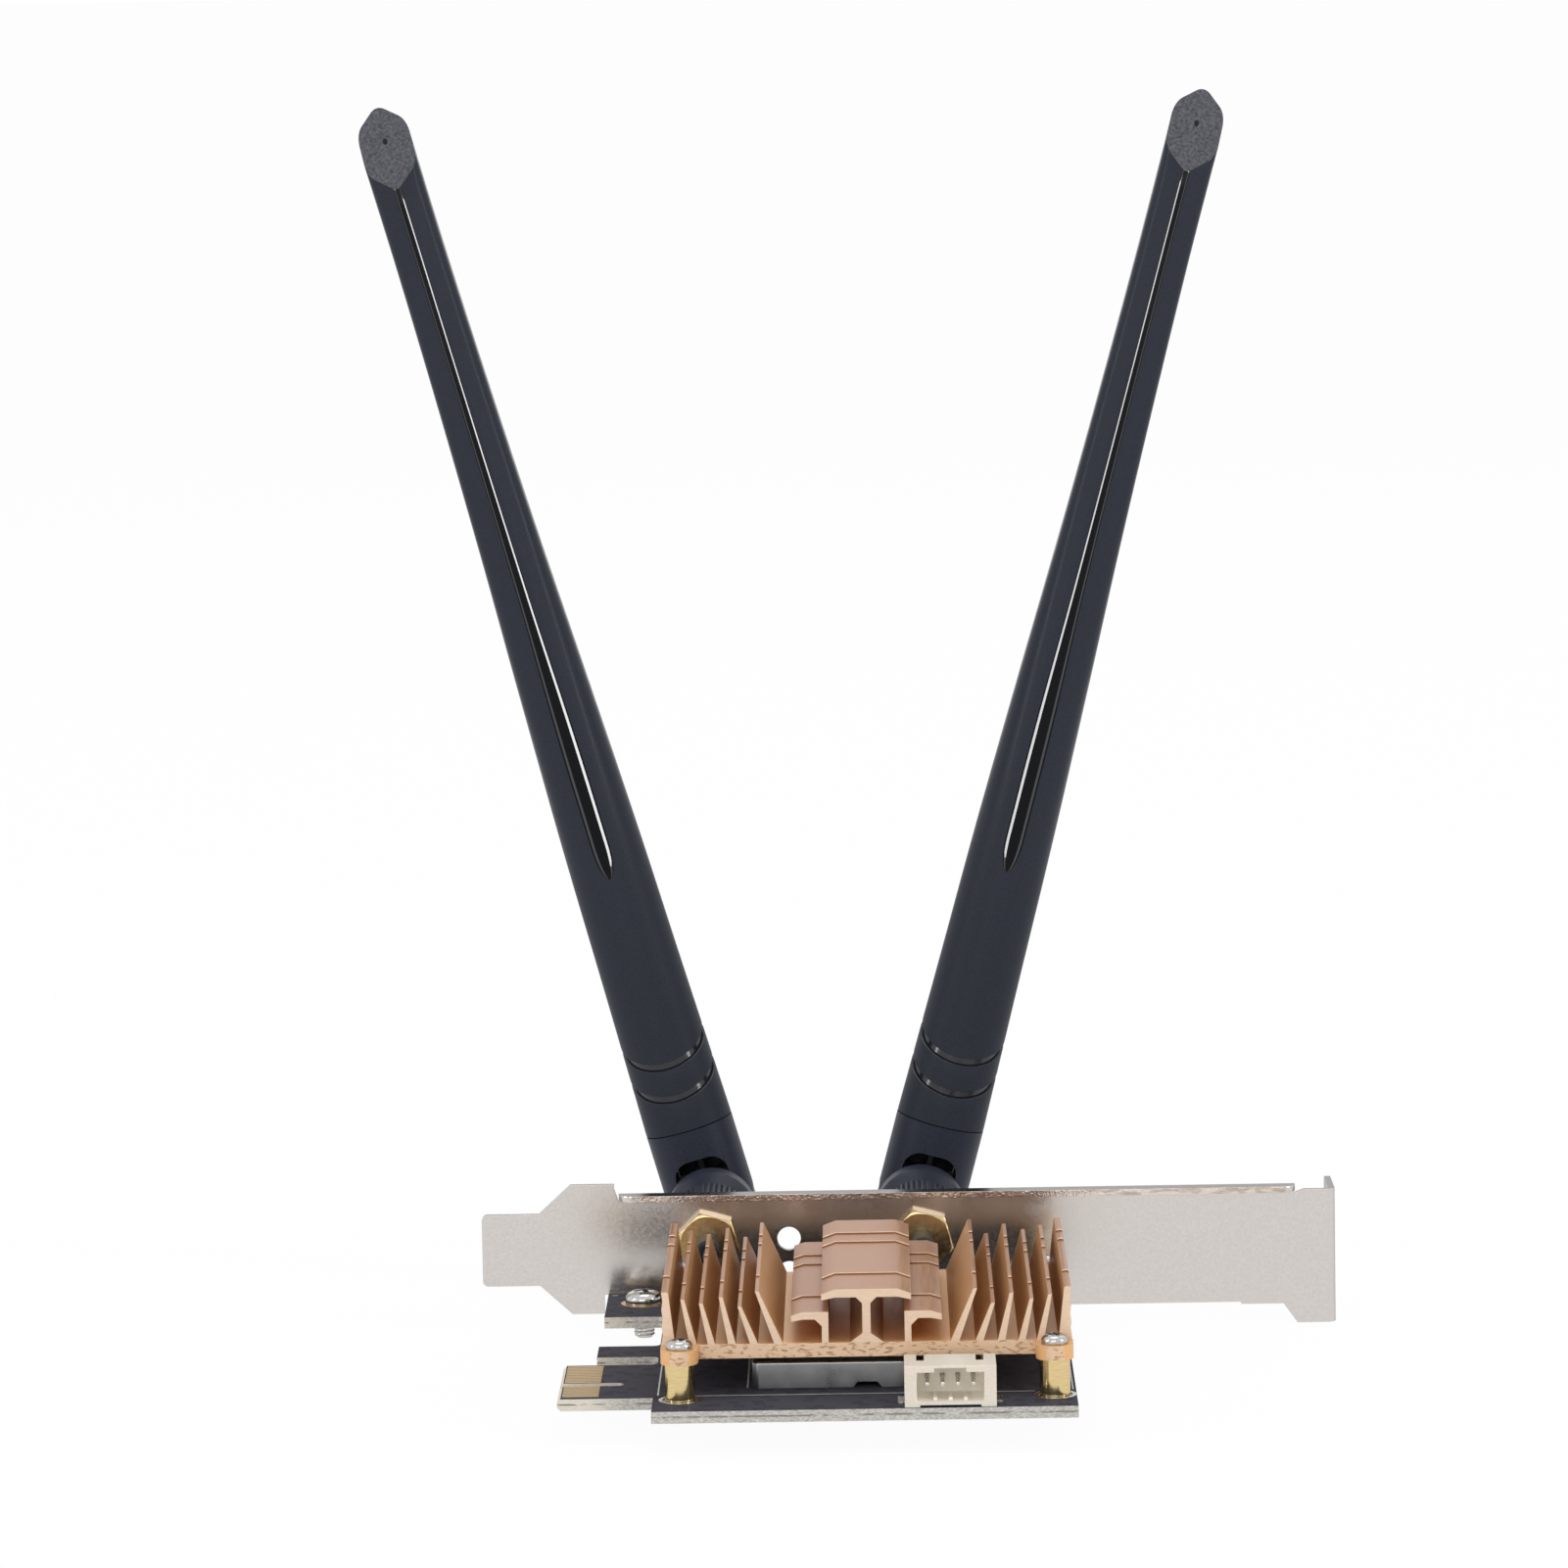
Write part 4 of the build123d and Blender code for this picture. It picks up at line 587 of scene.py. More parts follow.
def finished_copy(node, broken_edge, finish, slot, shape=None):
    """A merged copy of a node with its edges broken by a width in mm, standing for that node."""
    original = frame["nodes"][node]
    piece = original.copy()
    piece.data = original.data.copy()
    body = piece["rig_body"]
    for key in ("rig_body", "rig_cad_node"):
        del piece[key]
    piece.name = node + "_finished"
    piece.parent = None
    bpy.context.scene.collection.objects.link(piece)
    piece.data.materials.clear()
    piece.data.materials.append(finish)
    with editing(piece):
        bpy.ops.mesh.remove_doubles(threshold=MERGE * MM)
        bpy.ops.mesh.dissolve_limited(angle_limit=radians(FLAT_ANGLE))
    if broken_edge:
        apply_modifier(piece, "BEVEL", width=broken_edge * MM, segments=2, limit_method="ANGLE",
                       angle_limit=radians(BEVEL_ANGLE), harden_normals=False)
    if shape:
        shape(piece)
    smooth(piece)
    apply_modifier(piece, "WEIGHTED_NORMAL", keep_sharp=True)
    return settle(piece, body, slot, node)


def give_faces(piece, finish, test):
    """Gives a second finish to the faces that pass a test on their middle, in mm, and normal."""
    if finish.name not in piece.data.materials:
        piece.data.materials.append(finish)
    index = piece.data.materials.find(finish.name)
    chosen = [face for face in piece.data.polygons if test(face.center / MM, face.normal)]
    for face in chosen:
        face.material_index = index
    return len(chosen)


bracket = finished_copy("bracket", 0.09, bracket_nickel, "bracket_plate")
print("bracket faces:", len(bracket.data.polygons))

# %% [markdown]
# ## Heatsink
# Marks cross the tops of the ribs at three places. Each starts as six slices across the copy,
# and the points of the inner slices that lie on a rib's top are then moved up in two steps, which
# leaves a low ridge with steep walls. Their lower walls are painted dark brown, a painted shadow
# line, and their upper walls are bare. The sawn ends and the walls face along Y, so they are
# picked by their normal.

# %% Heatsink
MARKS = (10.3, 32.8, 39.3)
LUG_DEPTH = 4.97
# Half width of a mark at its foot, part way up and at its top, and how far each step rises
MARK_FOOT, MARK_WAIST, MARK_TOP = 0.38, 0.31, 0.28
WAIST_RISE, TOP_RISE = 0.19, 0.08
SAWN_FACING, TOP_FACING, SIDE_FACING = 0.85, 0.9, 0.5
extrusion_front = heatsink_low.y / MM + LUG_DEPTH
mark_places = [extrusion_front + mark for mark in MARKS]


def slice_along(piece, axis, place):
    """Cuts all of a piece's faces at a place along one axis, in mm, and leaves it whole."""
    normal = [1.0 if n == axis else 0.0 for n in range(3)]
    with editing(piece):
        bpy.ops.mesh.bisect(plane_co=[place * MM * part for part in normal], plane_no=normal,
                            threshold=MERGE * MM)


def mark_ribs(piece):
    for place in mark_places:
        for offset in (MARK_FOOT, MARK_WAIST, MARK_TOP):
            slice_along(piece, 1, place - offset)
            slice_along(piece, 1, place + offset)
        tops = [face for face in piece.data.polygons
                if face.normal.z > TOP_FACING and face.center.z / MM > base_top + MARK_FOOT]
        points = {number for face in tops for number in face.vertices}
        off = {number: abs(piece.data.vertices[number].co.y / MM - place) for number in points}
        for outside, rise in ((MARK_FOOT + MARK_WAIST, WAIST_RISE), (MARK_WAIST + MARK_TOP, TOP_RISE)):
            pick(piece, "VERT", [number for number in off if off[number] < outside / 2])
            with editing(piece, everything=False):
                bpy.ops.transform.translate(value=(0, 0, rise * MM))


def on_mark(middle, normal):
    on_wall = middle.z > base_top + MARK_FOOT and abs(normal.y) > SAWN_FACING
    return on_wall and any(MARK_WAIST < abs(middle.y - place) < MARK_FOOT for place in mark_places)


def on_side(middle, normal):
    return middle.z > base_top and abs(normal.x) > SIDE_FACING


def on_top(middle, normal):
    return middle.z > base_top + MARK_FOOT and normal.z > TOP_FACING


heatsink = finished_copy("heatsink", 0.07, anodised_skin, "heatsink_anodised", mark_ribs)
# Rib sides and tops take the darker copies, painted shade; the rest keeps the brighter, painted-light copy
give_faces(heatsink, anodised_side, on_side)
give_faces(heatsink, anodised_top, on_top)
sawn = give_faces(heatsink, anodised_cut, lambda middle, normal: abs(normal.y) > SAWN_FACING)
# The lower walls of each mark take the painted shadow line
marked = give_faces(heatsink, mark_brown, on_mark)
print("heatsink faces:", len(heatsink.data.polygons), "sawn:", sawn, "marked:", marked)

# %% [markdown]
# ## Board, header and can
# The board's edges are the faces that don't look up or down. The small parts on it are ceramic
# blocks whose two ends are tinned, so each block is sliced near its ends and banded.

# %% Board and what stands on it
EDGE_FACING = 0.75
END_SHARE = 0.24
LOW_BLOCK = 1.3
HEADER_SIDE, HEADER_FLOOR, HEADER_TOP, HEADER_RIM = 1.5, 0.7, 0.85, 0.3


def tin_ends(piece):
    """Parts a piece into its loose blocks, bands the ends of the low ones and joins them again."""
    with editing(piece):
        bpy.ops.mesh.separate(type="LOOSE")
    blocks = [piece] + [block for block in bpy.context.selected_objects if block != piece]
    for block in blocks:
        corners = [point.co / MM for point in block.data.vertices]
        low = [min(corner[n] for corner in corners) for n in range(3)]
        high = [max(corner[n] for corner in corners) for n in range(3)]
        if high[2] - low[2] > LOW_BLOCK:
            continue
        axis = 0 if high[0] - low[0] > high[1] - low[1] else 1
        end = END_SHARE * (high[axis] - low[axis])
        first, last = low[axis] + end, high[axis] - end
        for place in (first, last):
            slice_along(block, axis, place)
        give_faces(block, tin_pin, lambda middle, normal: not first < middle[axis] < last)
    select_only(*blocks)
    bpy.ops.object.join()


board = finished_copy("circuit_board", 0.05, board_black, "board_mask")
edge_faces = give_faces(board, board_edge, lambda middle, normal: abs(normal.z) < EDGE_FACING)
finished_copy("edge_contacts", 0.02, contact_gold, "contact_gold")
header = finished_copy("header_housing", 0.1, header_cream, "header_cream")
header_low, header_high = (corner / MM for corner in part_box("header_housing"))


def in_header(middle, normal):
    between = header_low.x + HEADER_SIDE < middle.x < header_high.x - HEADER_SIDE
    inside = header_low.z + HEADER_FLOOR < middle.z < header_high.z - HEADER_TOP
    return between and inside and middle.y > header_low.y + HEADER_RIM


# The faces inside the cavity take the paler copy, painted light
inside_faces = give_faces(header, header_inside, in_header)
# Each piece: node, edge to break in mm, finish, slot and what shapes it further
board_pieces = (
    ("header_pins", 0.06, tin_pin, "tin_pin", None),
    ("header_anchors", 0.02, tin_pin, "tin_pin", None),
    ("shield_can", 0.04, can_tin, "can_tin", None),
    ("thermal_pad", 0.15, pad_grey, "pad_grey", None),
    ("radio_chip", 0.08, chip_black, "chip_black", None),
    ("radio_parts", 0.04, ceramic_tan, "chip_black", tin_ends),
    ("board_parts", 0.04, ceramic_tan, "chip_black", tin_ends),
    ("coax_sockets", 0.03, jack_brass, "jack_brass", None),
    ("standoffs", 0.12, standoff_brass, "standoff_brass", None),
)
for node, edge, finish, slot, shape in board_pieces:
    finished_copy(node, edge, finish, slot, shape)
print("board edge faces:", edge_faces, "faces inside the header:", inside_faces)

# %% [markdown]
# ## Jacks, cables and hinges
# The same pieces come twice, on the left and on the right. The feed inside an antenna is a black
# cable where it crosses the hinge and a bare brass tube above it.

# %% Pieces on both sides
SIDES = ("left", "right")
FEED_JACKET = 22.0
INSERT_LENGTH = 3.7
# Each piece: node, edge to break in mm, finish and slot
side_pieces = (
    ("jack", 0.05, jack_brass, "jack_brass"),
    ("jack_insulator", 0.05, insulator_white, "insulator_white"),
    ("jack_contact", 0.03, jack_brass, "jack_brass"),
    ("jack_washer", 0.04, screw_nickel, "screw_nickel"),
    ("jack_nut", 0.06, jack_brass, "jack_brass"),
    ("cable_boot", 0.1, boot_black, "boot_black"),
    ("pigtail", 0.0, cable_black, "cable_black"),
    ("cable_plug", 0.06, jack_brass, "jack_brass"),
    ("coupling_nut", 0.05, hinge_black, "antenna_black"),
    ("plug_body", 0.05, jack_brass, "jack_brass"),
    ("plug_insert", 0.05, insulator_white, "insulator_white"),
    ("knuckle", 0.15, hinge_black, "antenna_black"),
    ("yoke", 0.15, hinge_black, "antenna_black"),
    # The hinge pins are painted shade, dark inside the arch
    ("hinge_pins", 0.1, pin_dark, "pin_steel"),
    ("radiator", 0.05, radiator_brass, "radiator_brass"),
)
for side in SIDES:
    for name, edge, finish, slot in side_pieces:
        piece = finished_copy(f"{side}_{name}", edge, finish, slot)
        if name == "radiator":
            jacket_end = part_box(f"{side}_radiator")[0].z / MM + FEED_JACKET
            give_faces(piece, cable_black, lambda middle, normal: middle.z < jacket_end)
        if name == "plug_insert":
            cable_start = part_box(f"{side}_plug_insert")[0].y / MM + INSERT_LENGTH
            give_faces(piece, cable_black, lambda middle, normal: middle.y > cable_start)
print("pieces on each side:", len(side_pieces))

# %% [markdown]
# ## Rolling a sheet into a tube
# An antenna sleeve is a tube whose section changes along its length, so it is made as one would
# roll paper: a flat grid is added, each of its points is moved to its place on the tube, the
# two long edges are merged, and the ends are filled. Turned pieces are rolled the same way.

# %% Rolled tube
def rolled_tube(name, columns, rings, place):
    """A closed tube. place(ring, column) gives each point, in mm, and columns go once round."""
    bpy.ops.object.select_all(action="DESELECT")
    bpy.ops.mesh.primitive_grid_add(x_subdivisions=columns, y_subdivisions=rings - 1, size=1.0)
    tube = bpy.context.object
    tube.name = name
    for point in tube.data.vertices:
        column = round((point.co.x + 0.5) * columns) % columns
        ring = round((point.co.y + 0.5) * (rings - 1))
        point.co = Vector(place(ring, column)) * MM
    with editing(tube):
        bpy.ops.mesh.remove_doubles(threshold=0.5 * MERGE * MM)
        bpy.ops.mesh.fill_holes(sides=0)
        bpy.ops.mesh.normals_make_consistent(inside=False)
    return tube


# %% [markdown]
# ## Antenna sleeves
# Near the hinge a sleeve is round, and it turns into a slim hexagon with a ridge in front. Two
# slanted grooves ring its foot, a low blade with polished flanks runs up its front ridge, and
# its tip is cut on the slant with a small moulding gate. The rings of the tube lean with the
# grooves and with the tip, so both come out crisp.

# %% Sleeve sizes
SEAM = 12.1
# Distance from the hinge, half width across the flats, corner radius as a share of that
SLEEVE_SECTIONS = (
    (12.1, 6.39, 0.985), (34.1, 6.0, 0.985), (56.0, 5.68, 0.95), (78.0, 5.1, 0.8),
    (100.0, 4.42, 0.6), (121.9, 3.97, 0.45), (143.9, 3.73, 0.36), (169.0, 3.8, 0.36),
)
SIDE_SHARE = 0.55
GROOVES = (20.4, 25.2)
GROOVE_SLOPE = tan(radians(28.0))
GROOVE_HALF, GROOVE_LIP, GROOVE_DEPTH = 0.566, 0.07, 0.45
# Distance from the hinge and half width of the blade
BLADE_WIDTHS = (
    (48.0, 1.20), (58.0, 1.20), (66.0, 1.20), (75.0, 1.10), (92.0, 0.74), (120.0, 0.53), (145.0, 0.5),
    (172.0, 0.5),
)
BLADE_NOSE, NOSE_LENGTH, NOSE_TIP = 50.3, 5.0, 0.12
# Across the blade from its middle, as shares of its half width: its flat, its flank and a line
FLAT_END, FLANK_END, LINE_END = 0.64, 0.93, 1.12
BLADE_FLAT, BLADE_FLANK = (0.0, 0.32, FLAT_END), (0.69, 0.78, 0.87, FLANK_END)
BLADE_LINE = (0.97, 1.06, LINE_END)
FLANK_SLOPE, LINE_DEPTH = tan(radians(35.0)), 0.05
TIP_FRONT, TIP_BACK, TIP_HALF = 154.0, 165.0, 3.79
TIP_MIDDLE = (TIP_FRONT + TIP_BACK) / 2
TIP_SLOPE = (TIP_BACK - TIP_FRONT) / (2 * TIP_HALF)
GATE_RADIUS, GATE_DEPTH, GATE_OUT = 0.33, 0.5, 0.57


def eased(value, low, high):
    t = min(1.0, max(0.0, (value - low) / (high - low)))
    return t * t * (3 - 2 * t)


def on_curve(table, distance):
    """The values of a table at a distance, on a smooth curve through its rows."""
    n = next((i for i in range(len(table) - 2) if distance < table[i + 1][0]), len(table) - 2)
    before, low, high, after = (table[min(max(n + k, 0), len(table) - 1)] for k in (-1, 0, 1, 2))
    span = high[0] - low[0]
    t = (distance - low[0]) / span
    values = []
    for k in range(1, len(low)):
        rise_low = (high[k] - before[k]) / max(high[0] - before[0], span) * span
        rise_high = (after[k] - low[k]) / max(after[0] - low[0], span) * span
        values.append((2 * t**3 - 3 * t**2 + 1) * low[k] + (t**3 - 2 * t**2 + t) * rise_low
                      + (3 * t**2 - 2 * t**3) * high[k] + (t**3 - t**2) * rise_high)
    return values


def hexagon_radius(half_width, share, angle):
    """Distance from the axis to a rounded hexagon, sharper at its front ridge than elsewhere."""
    from_front = abs((angle + 3 * pi / 2) % (2 * pi) - pi)
    corner = (share if from_front < pi / 6 else max(share, SIDE_SHARE)) * half_width
    inner = half_width - corner
    off = abs((angle + pi / 6) % (pi / 3) - pi / 6)
    if half_width * tan(off) <= inner * tan(pi / 6):
        return half_width / cos(off)
    to_corner = inner / cos(pi / 6)
    from_ridge = pi / 6 - off
    return to_corner * cos(from_ridge) + sqrt(corner**2 - (to_corner * sin(from_ridge)) ** 2)


def blade_half(distance):
    """Half width of the blade in mm: a long round nose, then a taper towards the tip."""
    wide = on_curve(BLADE_WIDTHS, distance)[0]
    to_nose = min(max((BLADE_NOSE + NOSE_LENGTH - distance) / NOSE_LENGTH, 0.0), 1.0)
    return max(wide * sqrt(1 - to_nose**2), NOSE_TIP)


print("blade width at 60 and 120 mm:", round(2 * blade_half(60), 2), round(2 * blade_half(120), 2))

# %% [markdown]
# The rings are listed one by one where something happens, and evenly in between. Each ring has a
# distance and how much it is drawn in. Columns follow the blade's section all the way up, so
# that its edges stay sharp however narrow it gets, and the flanks keep one slope, so that each
# mirrors a lamp along its whole length.

# %% Sleeve rings and columns
FOOT_RINGS = (14.0, 16.0, 18.0)
# First ring, spacing and number of rings below the blade and along it
PLAIN_START, PLAIN_STEP, PLAIN_COUNT = 29.0, 2.0, 10
BLADE_START, BLADE_STEP, BLADE_COUNT = 57.0, 2.5, 41
# The lean grows over a length above the seam, and fades over another before the blade
LEAN_GROWTH, LEAN_END, LEAN_FADE, TIP_LEAN_START = 5.4, 28.0, 16.0, 132.0
sleeve_rings = [(SEAM, 0.2), (SEAM + 0.05, 0.06), (SEAM + 0.2, 0.0)]
sleeve_rings += [(distance, 0.0) for distance in FOOT_RINGS]
for groove in GROOVES:
    steps_in = [(GROOVE_HALF + GROOVE_LIP, 0.0), (GROOVE_HALF, 0.03),
                (GROOVE_HALF - 0.03, 0.1), (GROOVE_HALF - 0.06, GROOVE_DEPTH)]
    sleeve_rings += [(groove - off, drawn) for off, drawn in steps_in]
    sleeve_rings += [(groove + off, drawn) for off, drawn in reversed(steps_in)]
    sleeve_rings.append((groove + 2.2, 0.0))
sleeve_rings += [(PLAIN_START + PLAIN_STEP * n, 0.0) for n in range(PLAIN_COUNT)]
sleeve_rings.append((BLADE_NOSE - 0.25, 0.0))
sleeve_rings += [(BLADE_NOSE + NOSE_LENGTH * (1 - cos(radians(a))), 0.0) for a in range(0, 91, 6)]
sleeve_rings += [(BLADE_START + BLADE_STEP * n, 0.0) for n in range(BLADE_COUNT)]
sleeve_rings += [(TIP_MIDDLE - 0.25, 0.0), (TIP_MIDDLE - 0.08, 0.04), (TIP_MIDDLE, 0.16)]
TIP_SHARES = (0.08, 0.25, 0.5, 0.75, 0.92, 1.0)
SIDE_COLUMNS = 40


def half_ring(distance):
    """Points of one half of a ring, from the front to the back: across the sleeve and outwards."""
    half_width, share = on_curve(SLEEVE_SECTIONS, distance)
    width = blade_half(distance)

    def on_hexagon(angle):
        radius = hexagon_radius(half_width, share, angle - pi / 2)
        return radius * sin(angle), -radius * cos(angle)

    def front_at(across):
        """Angle from the front at which the hexagon is this far across."""
        angle = 0.0
        for _ in range(4):
            angle = asin(across / hexagon_radius(half_width, share, angle - pi / 2))
        return angle

    flank_foot = on_hexagon(front_at(FLANK_END * width))[1]
    has_blade = distance >= BLADE_NOSE
    points = []
    for across in BLADE_FLAT + BLADE_FLANK + BLADE_LINE:
        x, y = on_hexagon(front_at(across * width))
        if has_blade and across <= FLANK_END:
            y = flank_foot - FLANK_SLOPE * (FLANK_END - max(across, FLAT_END)) * width
        elif has_blade and across < LINE_END:
            y += LINE_DEPTH * width
        points.append((x, y))
    first = front_at(LINE_END * width)
    turns = [first + (pi - first) * n / SIDE_COLUMNS for n in range(1, SIDE_COLUMNS + 1)]
    return points + [on_hexagon(angle) for angle in turns]


def ring_lean(distance):
    """How far a ring rises for each mm outwards: flat at the seam, slanted at grooves and tip."""
    growth = min((distance - SEAM) / LEAN_GROWTH, 1.0)
    fading = min(max((distance - LEAN_END) / LEAN_FADE, 0.0), 1.0)
    return GROOVE_SLOPE * growth * (1 - fading) + TIP_SLOPE * eased(distance, TIP_LEAN_START, TIP_MIDDLE)


half_rings = [half_ring(distance) for distance, drawn in sleeve_rings]
half_count = len(half_rings[0])
SLEEVE_COLUMNS = 2 * half_count - 2
print("sleeve rings:", len(sleeve_rings), "columns:", SLEEVE_COLUMNS)

# %% [markdown]
# A sleeve's place comes from its hinge: the fold joint gives the hinge point and its axis, and
# the antenna stands square to that axis.

# %% Make the two sleeves
def hinge_frame(side):
    """The hinge point in mm, and the directions across the antenna, outwards and up along it."""
    fold = next(joint for joint in frame["joints"] if joint["name"] == f"{side}_fold")
    across, outwards = -Vector(fold["axis"]), Vector((0, 1, 0))
    return Vector(fold["pos_m"]) / MM, across, outwards, across.cross(outwards)


def make_sleeve(side):
    hinge, across, outwards, upwards = hinge_frame(side)

    def on_ring(ring, column):
        last = min(ring, len(sleeve_rings) - 1)
        distance, drawn = sleeve_rings[last]
        mirrored = column >= half_count
        x, y = half_rings[last][SLEEVE_COLUMNS - column if mirrored else column]
        radius = hypot(x, y)
        x, y = (-x if mirrored else x) * (1 - drawn / radius), y * (1 - drawn / radius)
        height = distance + ring_lean(distance) * y
        if ring >= len(sleeve_rings):
            inner = ring - len(sleeve_rings)
            share_in = TIP_SHARES[min(inner, len(TIP_SHARES) - 1)]
            gate_share = GATE_RADIUS / hypot(x, y)
            x += (gate_share * x - x) * share_in
            y += (GATE_OUT + gate_share * y - y) * share_in
            height = distance + ring_lean(distance) * y
            if inner == len(TIP_SHARES):
                height -= GATE_DEPTH
        return x, y, height

    def place(ring, column):
        x, y, height = on_ring(ring, column)
        return hinge + across * x + outwards * y + upwards * height

    rings = len(sleeve_rings) + len(TIP_SHARES) + 1
    sleeve = rolled_tube(f"{side}_sleeve_finished", SLEEVE_COLUMNS, rings, place)
    sleeve.data.materials.append(antenna_black)
    heights = [upwards.dot(point.co / MM - hinge) for point in sleeve.data.vertices]
    reach_values = sleeve.data.attributes.new("reach", "FLOAT", "POINT")
    reach_values.data.foreach_set("value", heights)

    def on_blade(middle, first, last):
        """Whether a face lies on the blade's front between two shares of its half width."""
        local = middle - hinge
        height = upwards.dot(local) - ring_lean(upwards.dot(local)) * local.y
        share = abs(across.dot(local)) / blade_half(height)
        return local.y < 0 and height > BLADE_NOSE and first < share < last

    def in_groove(middle, normal):
        local = middle - hinge
        flat = upwards.dot(local) - GROOVE_SLOPE * local.y
        return any(abs(flat - groove) < GROOVE_HALF for groove in GROOVES)

    def on_tip(middle, normal):
        local = middle - hinge
        return upwards.dot(local) - TIP_SLOPE * local.y > TIP_MIDDLE - 0.1
    # The blade's flat and the line beside its flanks are painted shade
    give_faces(sleeve, groove_black, lambda middle, normal: on_blade(middle, 0.0, FLAT_END))
    give_faces(sleeve, groove_black, lambda middle, normal: on_blade(middle, FLANK_END, LINE_END))
    flanks = give_faces(sleeve, blade_black, lambda middle, normal: on_blade(middle, FLAT_END, FLANK_END))
    grooved = give_faces(sleeve, ring_black, in_groove)
    tipped = give_faces(sleeve, tip_black, on_tip)
    smooth(sleeve, 20.0)
    print(sleeve.name, "flank faces:", flanks, "groove:", grooved, "tip:", tipped)
    return settle(sleeve, f"{side}_antenna", "antenna_black", f"{side}_sleeve")


for side in SIDES:
    make_sleeve(side)

# %% [markdown]
# ## Slot liners
# The slot that a hinge folds in is wider than the wall behind it, so light would show through
# at its corners. A thin dark sheet stands against that wall as painted shade and keeps the light
# out. It is a block scaled to a thin sheet, with its lower corners rounded and its edges broken.

# %% Slot liners
# Half width, place outwards of both faces, lowest and highest point, all in mm from the hinge
LINER_HALF, LINER_INNER, LINER_OUTER, LINER_LOW, LINER_HIGH = 3.895, 5.06, 5.28, -2.6, 5.6
# Round of the lower corners and its steps, width of the broken edge, and how sharp an edge is broken
LINER_CUT, CUT_STEPS, LINER_EDGE, LINER_SHARP = 1.2, 6, 0.03, 40.0


def make_liner(side):
    hinge, across, outwards, upwards = hinge_frame(side)
    liner = block((2 * LINER_HALF, LINER_OUTER - LINER_INNER, LINER_HIGH - LINER_LOW),
                  (0, (LINER_INNER + LINER_OUTER) / 2, (LINER_LOW + LINER_HIGH) / 2))
    liner.name = f"{side}_slot_liner"
    lower_corners = []
    for edge in liner.data.edges:
        first, second = (liner.data.vertices[n].co for n in edge.vertices)
        if max(first.z, second.z) < 0 and abs(first.y - second.y) > LINER_EDGE * MM:
            lower_corners.append(edge.index)
    pick(liner, "EDGE", lower_corners)
    with editing(liner, everything=False):
        bpy.ops.mesh.bevel(offset=LINER_CUT * MM, segments=CUT_STEPS)
    apply_modifier(liner, "BEVEL", width=LINER_EDGE * MM, segments=2, limit_method="ANGLE",
                   angle_limit=radians(LINER_SHARP))
    turn = Matrix((across, outwards, upwards)).transposed().to_4x4()
    liner.matrix_world = Matrix.Translation(hinge * MM) @ turn
    select_only(liner)
    bpy.ops.object.transform_apply()
    # The sheet is painted shade: dark plastic that keeps the slot dark
    liner.data.materials.append(hinge_black)
    smooth(liner)
    return settle(liner, f"{side}_antenna", "antenna_black")


liners = [make_liner(side) for side in SIDES]
print("liners:", [len(liner.data.polygons) for liner in liners])

# %% [markdown]
# ## Screws
# A pan head is turned from wire and a cross is pressed into it. Here it starts as a drum whose
# top is inset and raised in steps, a bevel rounds the steps, and two tapered bars cut the cross.
# The thread is a rolled tube whose radius rises and falls along a helix. One screw is made, and
# its copies are turned a little differently, as real ones end up.

# %% Screw parts
SCREW_SIDES = 40
HEAD_STEPS = ((0.16, 0.28), (0.28, 0.17), (0.28, 0.05))
HEAD_RIM = 0.5
CROSS_LENGTH, CROSS_WIDTH, CROSS_DEPTH, CROSS_SPARE, CROSS_TAPER = 0.56, 0.16, 0.6, 1.1, 0.6
# How a face of the cross is told: steep or low, above the rim's foot, and near the axis
RECESS_STEEP, RECESS_LOW, RECESS_FLOOR, RECESS_REACH = 0.5, 0.5, 0.2, 0.31
THREAD_COLUMNS, THREAD_STEPS, THREAD_TIP = 24, 6, 0.4
FIRST_TURN, NEXT_TURN = 20, 47


def pick_top(piece):
    """Selects the highest flat face of a piece."""
    pick(piece, "FACE", [max(piece.data.polygons, key=lambda face: face.center.z).index])


def cross_bar(diameter, height, turned):
    """One arm of the cross that is cut from the head, tapered towards its foot."""
    deep = CROSS_DEPTH * height
    size = (CROSS_LENGTH * diameter, CROSS_WIDTH * diameter, CROSS_SPARE * deep)
    bar = block(size, (0, 0, height - deep / 2))
    bar.rotation_euler.z = turned
    bpy.ops.object.transform_apply()
    foot = min(point.co.z for point in bar.data.vertices)
    for point in bar.data.vertices:
        if point.co.z < foot + 0.01 * MM:
            point.co.x *= CROSS_TAPER
            point.co.y *= CROSS_TAPER
    return bar


def pan_head(diameter, height):
    radius, rim = diameter / 2, HEAD_RIM * height
    bpy.ops.object.select_all(action="DESELECT")
    bpy.ops.mesh.primitive_cylinder_add(vertices=SCREW_SIDES, radius=radius * MM, depth=rim * MM,
                                        location=(0, 0, rim / 2 * MM))
    head = bpy.context.object
    bpy.ops.object.transform_apply()
    for inset, rise in HEAD_STEPS:
        pick_top(head)
        with editing(head, everything=False):
            bpy.ops.mesh.inset(thickness=inset * radius * MM, depth=rise * height * MM)
    apply_modifier(head, "BEVEL", width=0.08 * height * MM, segments=2, limit_method="ANGLE",
                   angle_limit=radians(12))
    for turned in (0, pi / 2):
        bar = cross_bar(diameter, height, turned)
        apply_modifier(head, "BOOLEAN", object=bar, operation="DIFFERENCE", solver="EXACT")
        bpy.data.objects.remove(bar)
    head.data.materials.clear()
    head.data.materials.append(screw_nickel)

    def pressed(middle, normal):
        steep_or_low = abs(normal.z) < RECESS_STEEP or middle.z < RECESS_LOW * height
        near_axis = hypot(middle.x, middle.y) < RECESS_REACH * diameter
        return steep_or_low and middle.z > RECESS_FLOOR * height and near_axis
    # The faces of the cross take the darker nickel, painted shade in the recess
    give_faces(head, recess_dark, pressed)
    return head


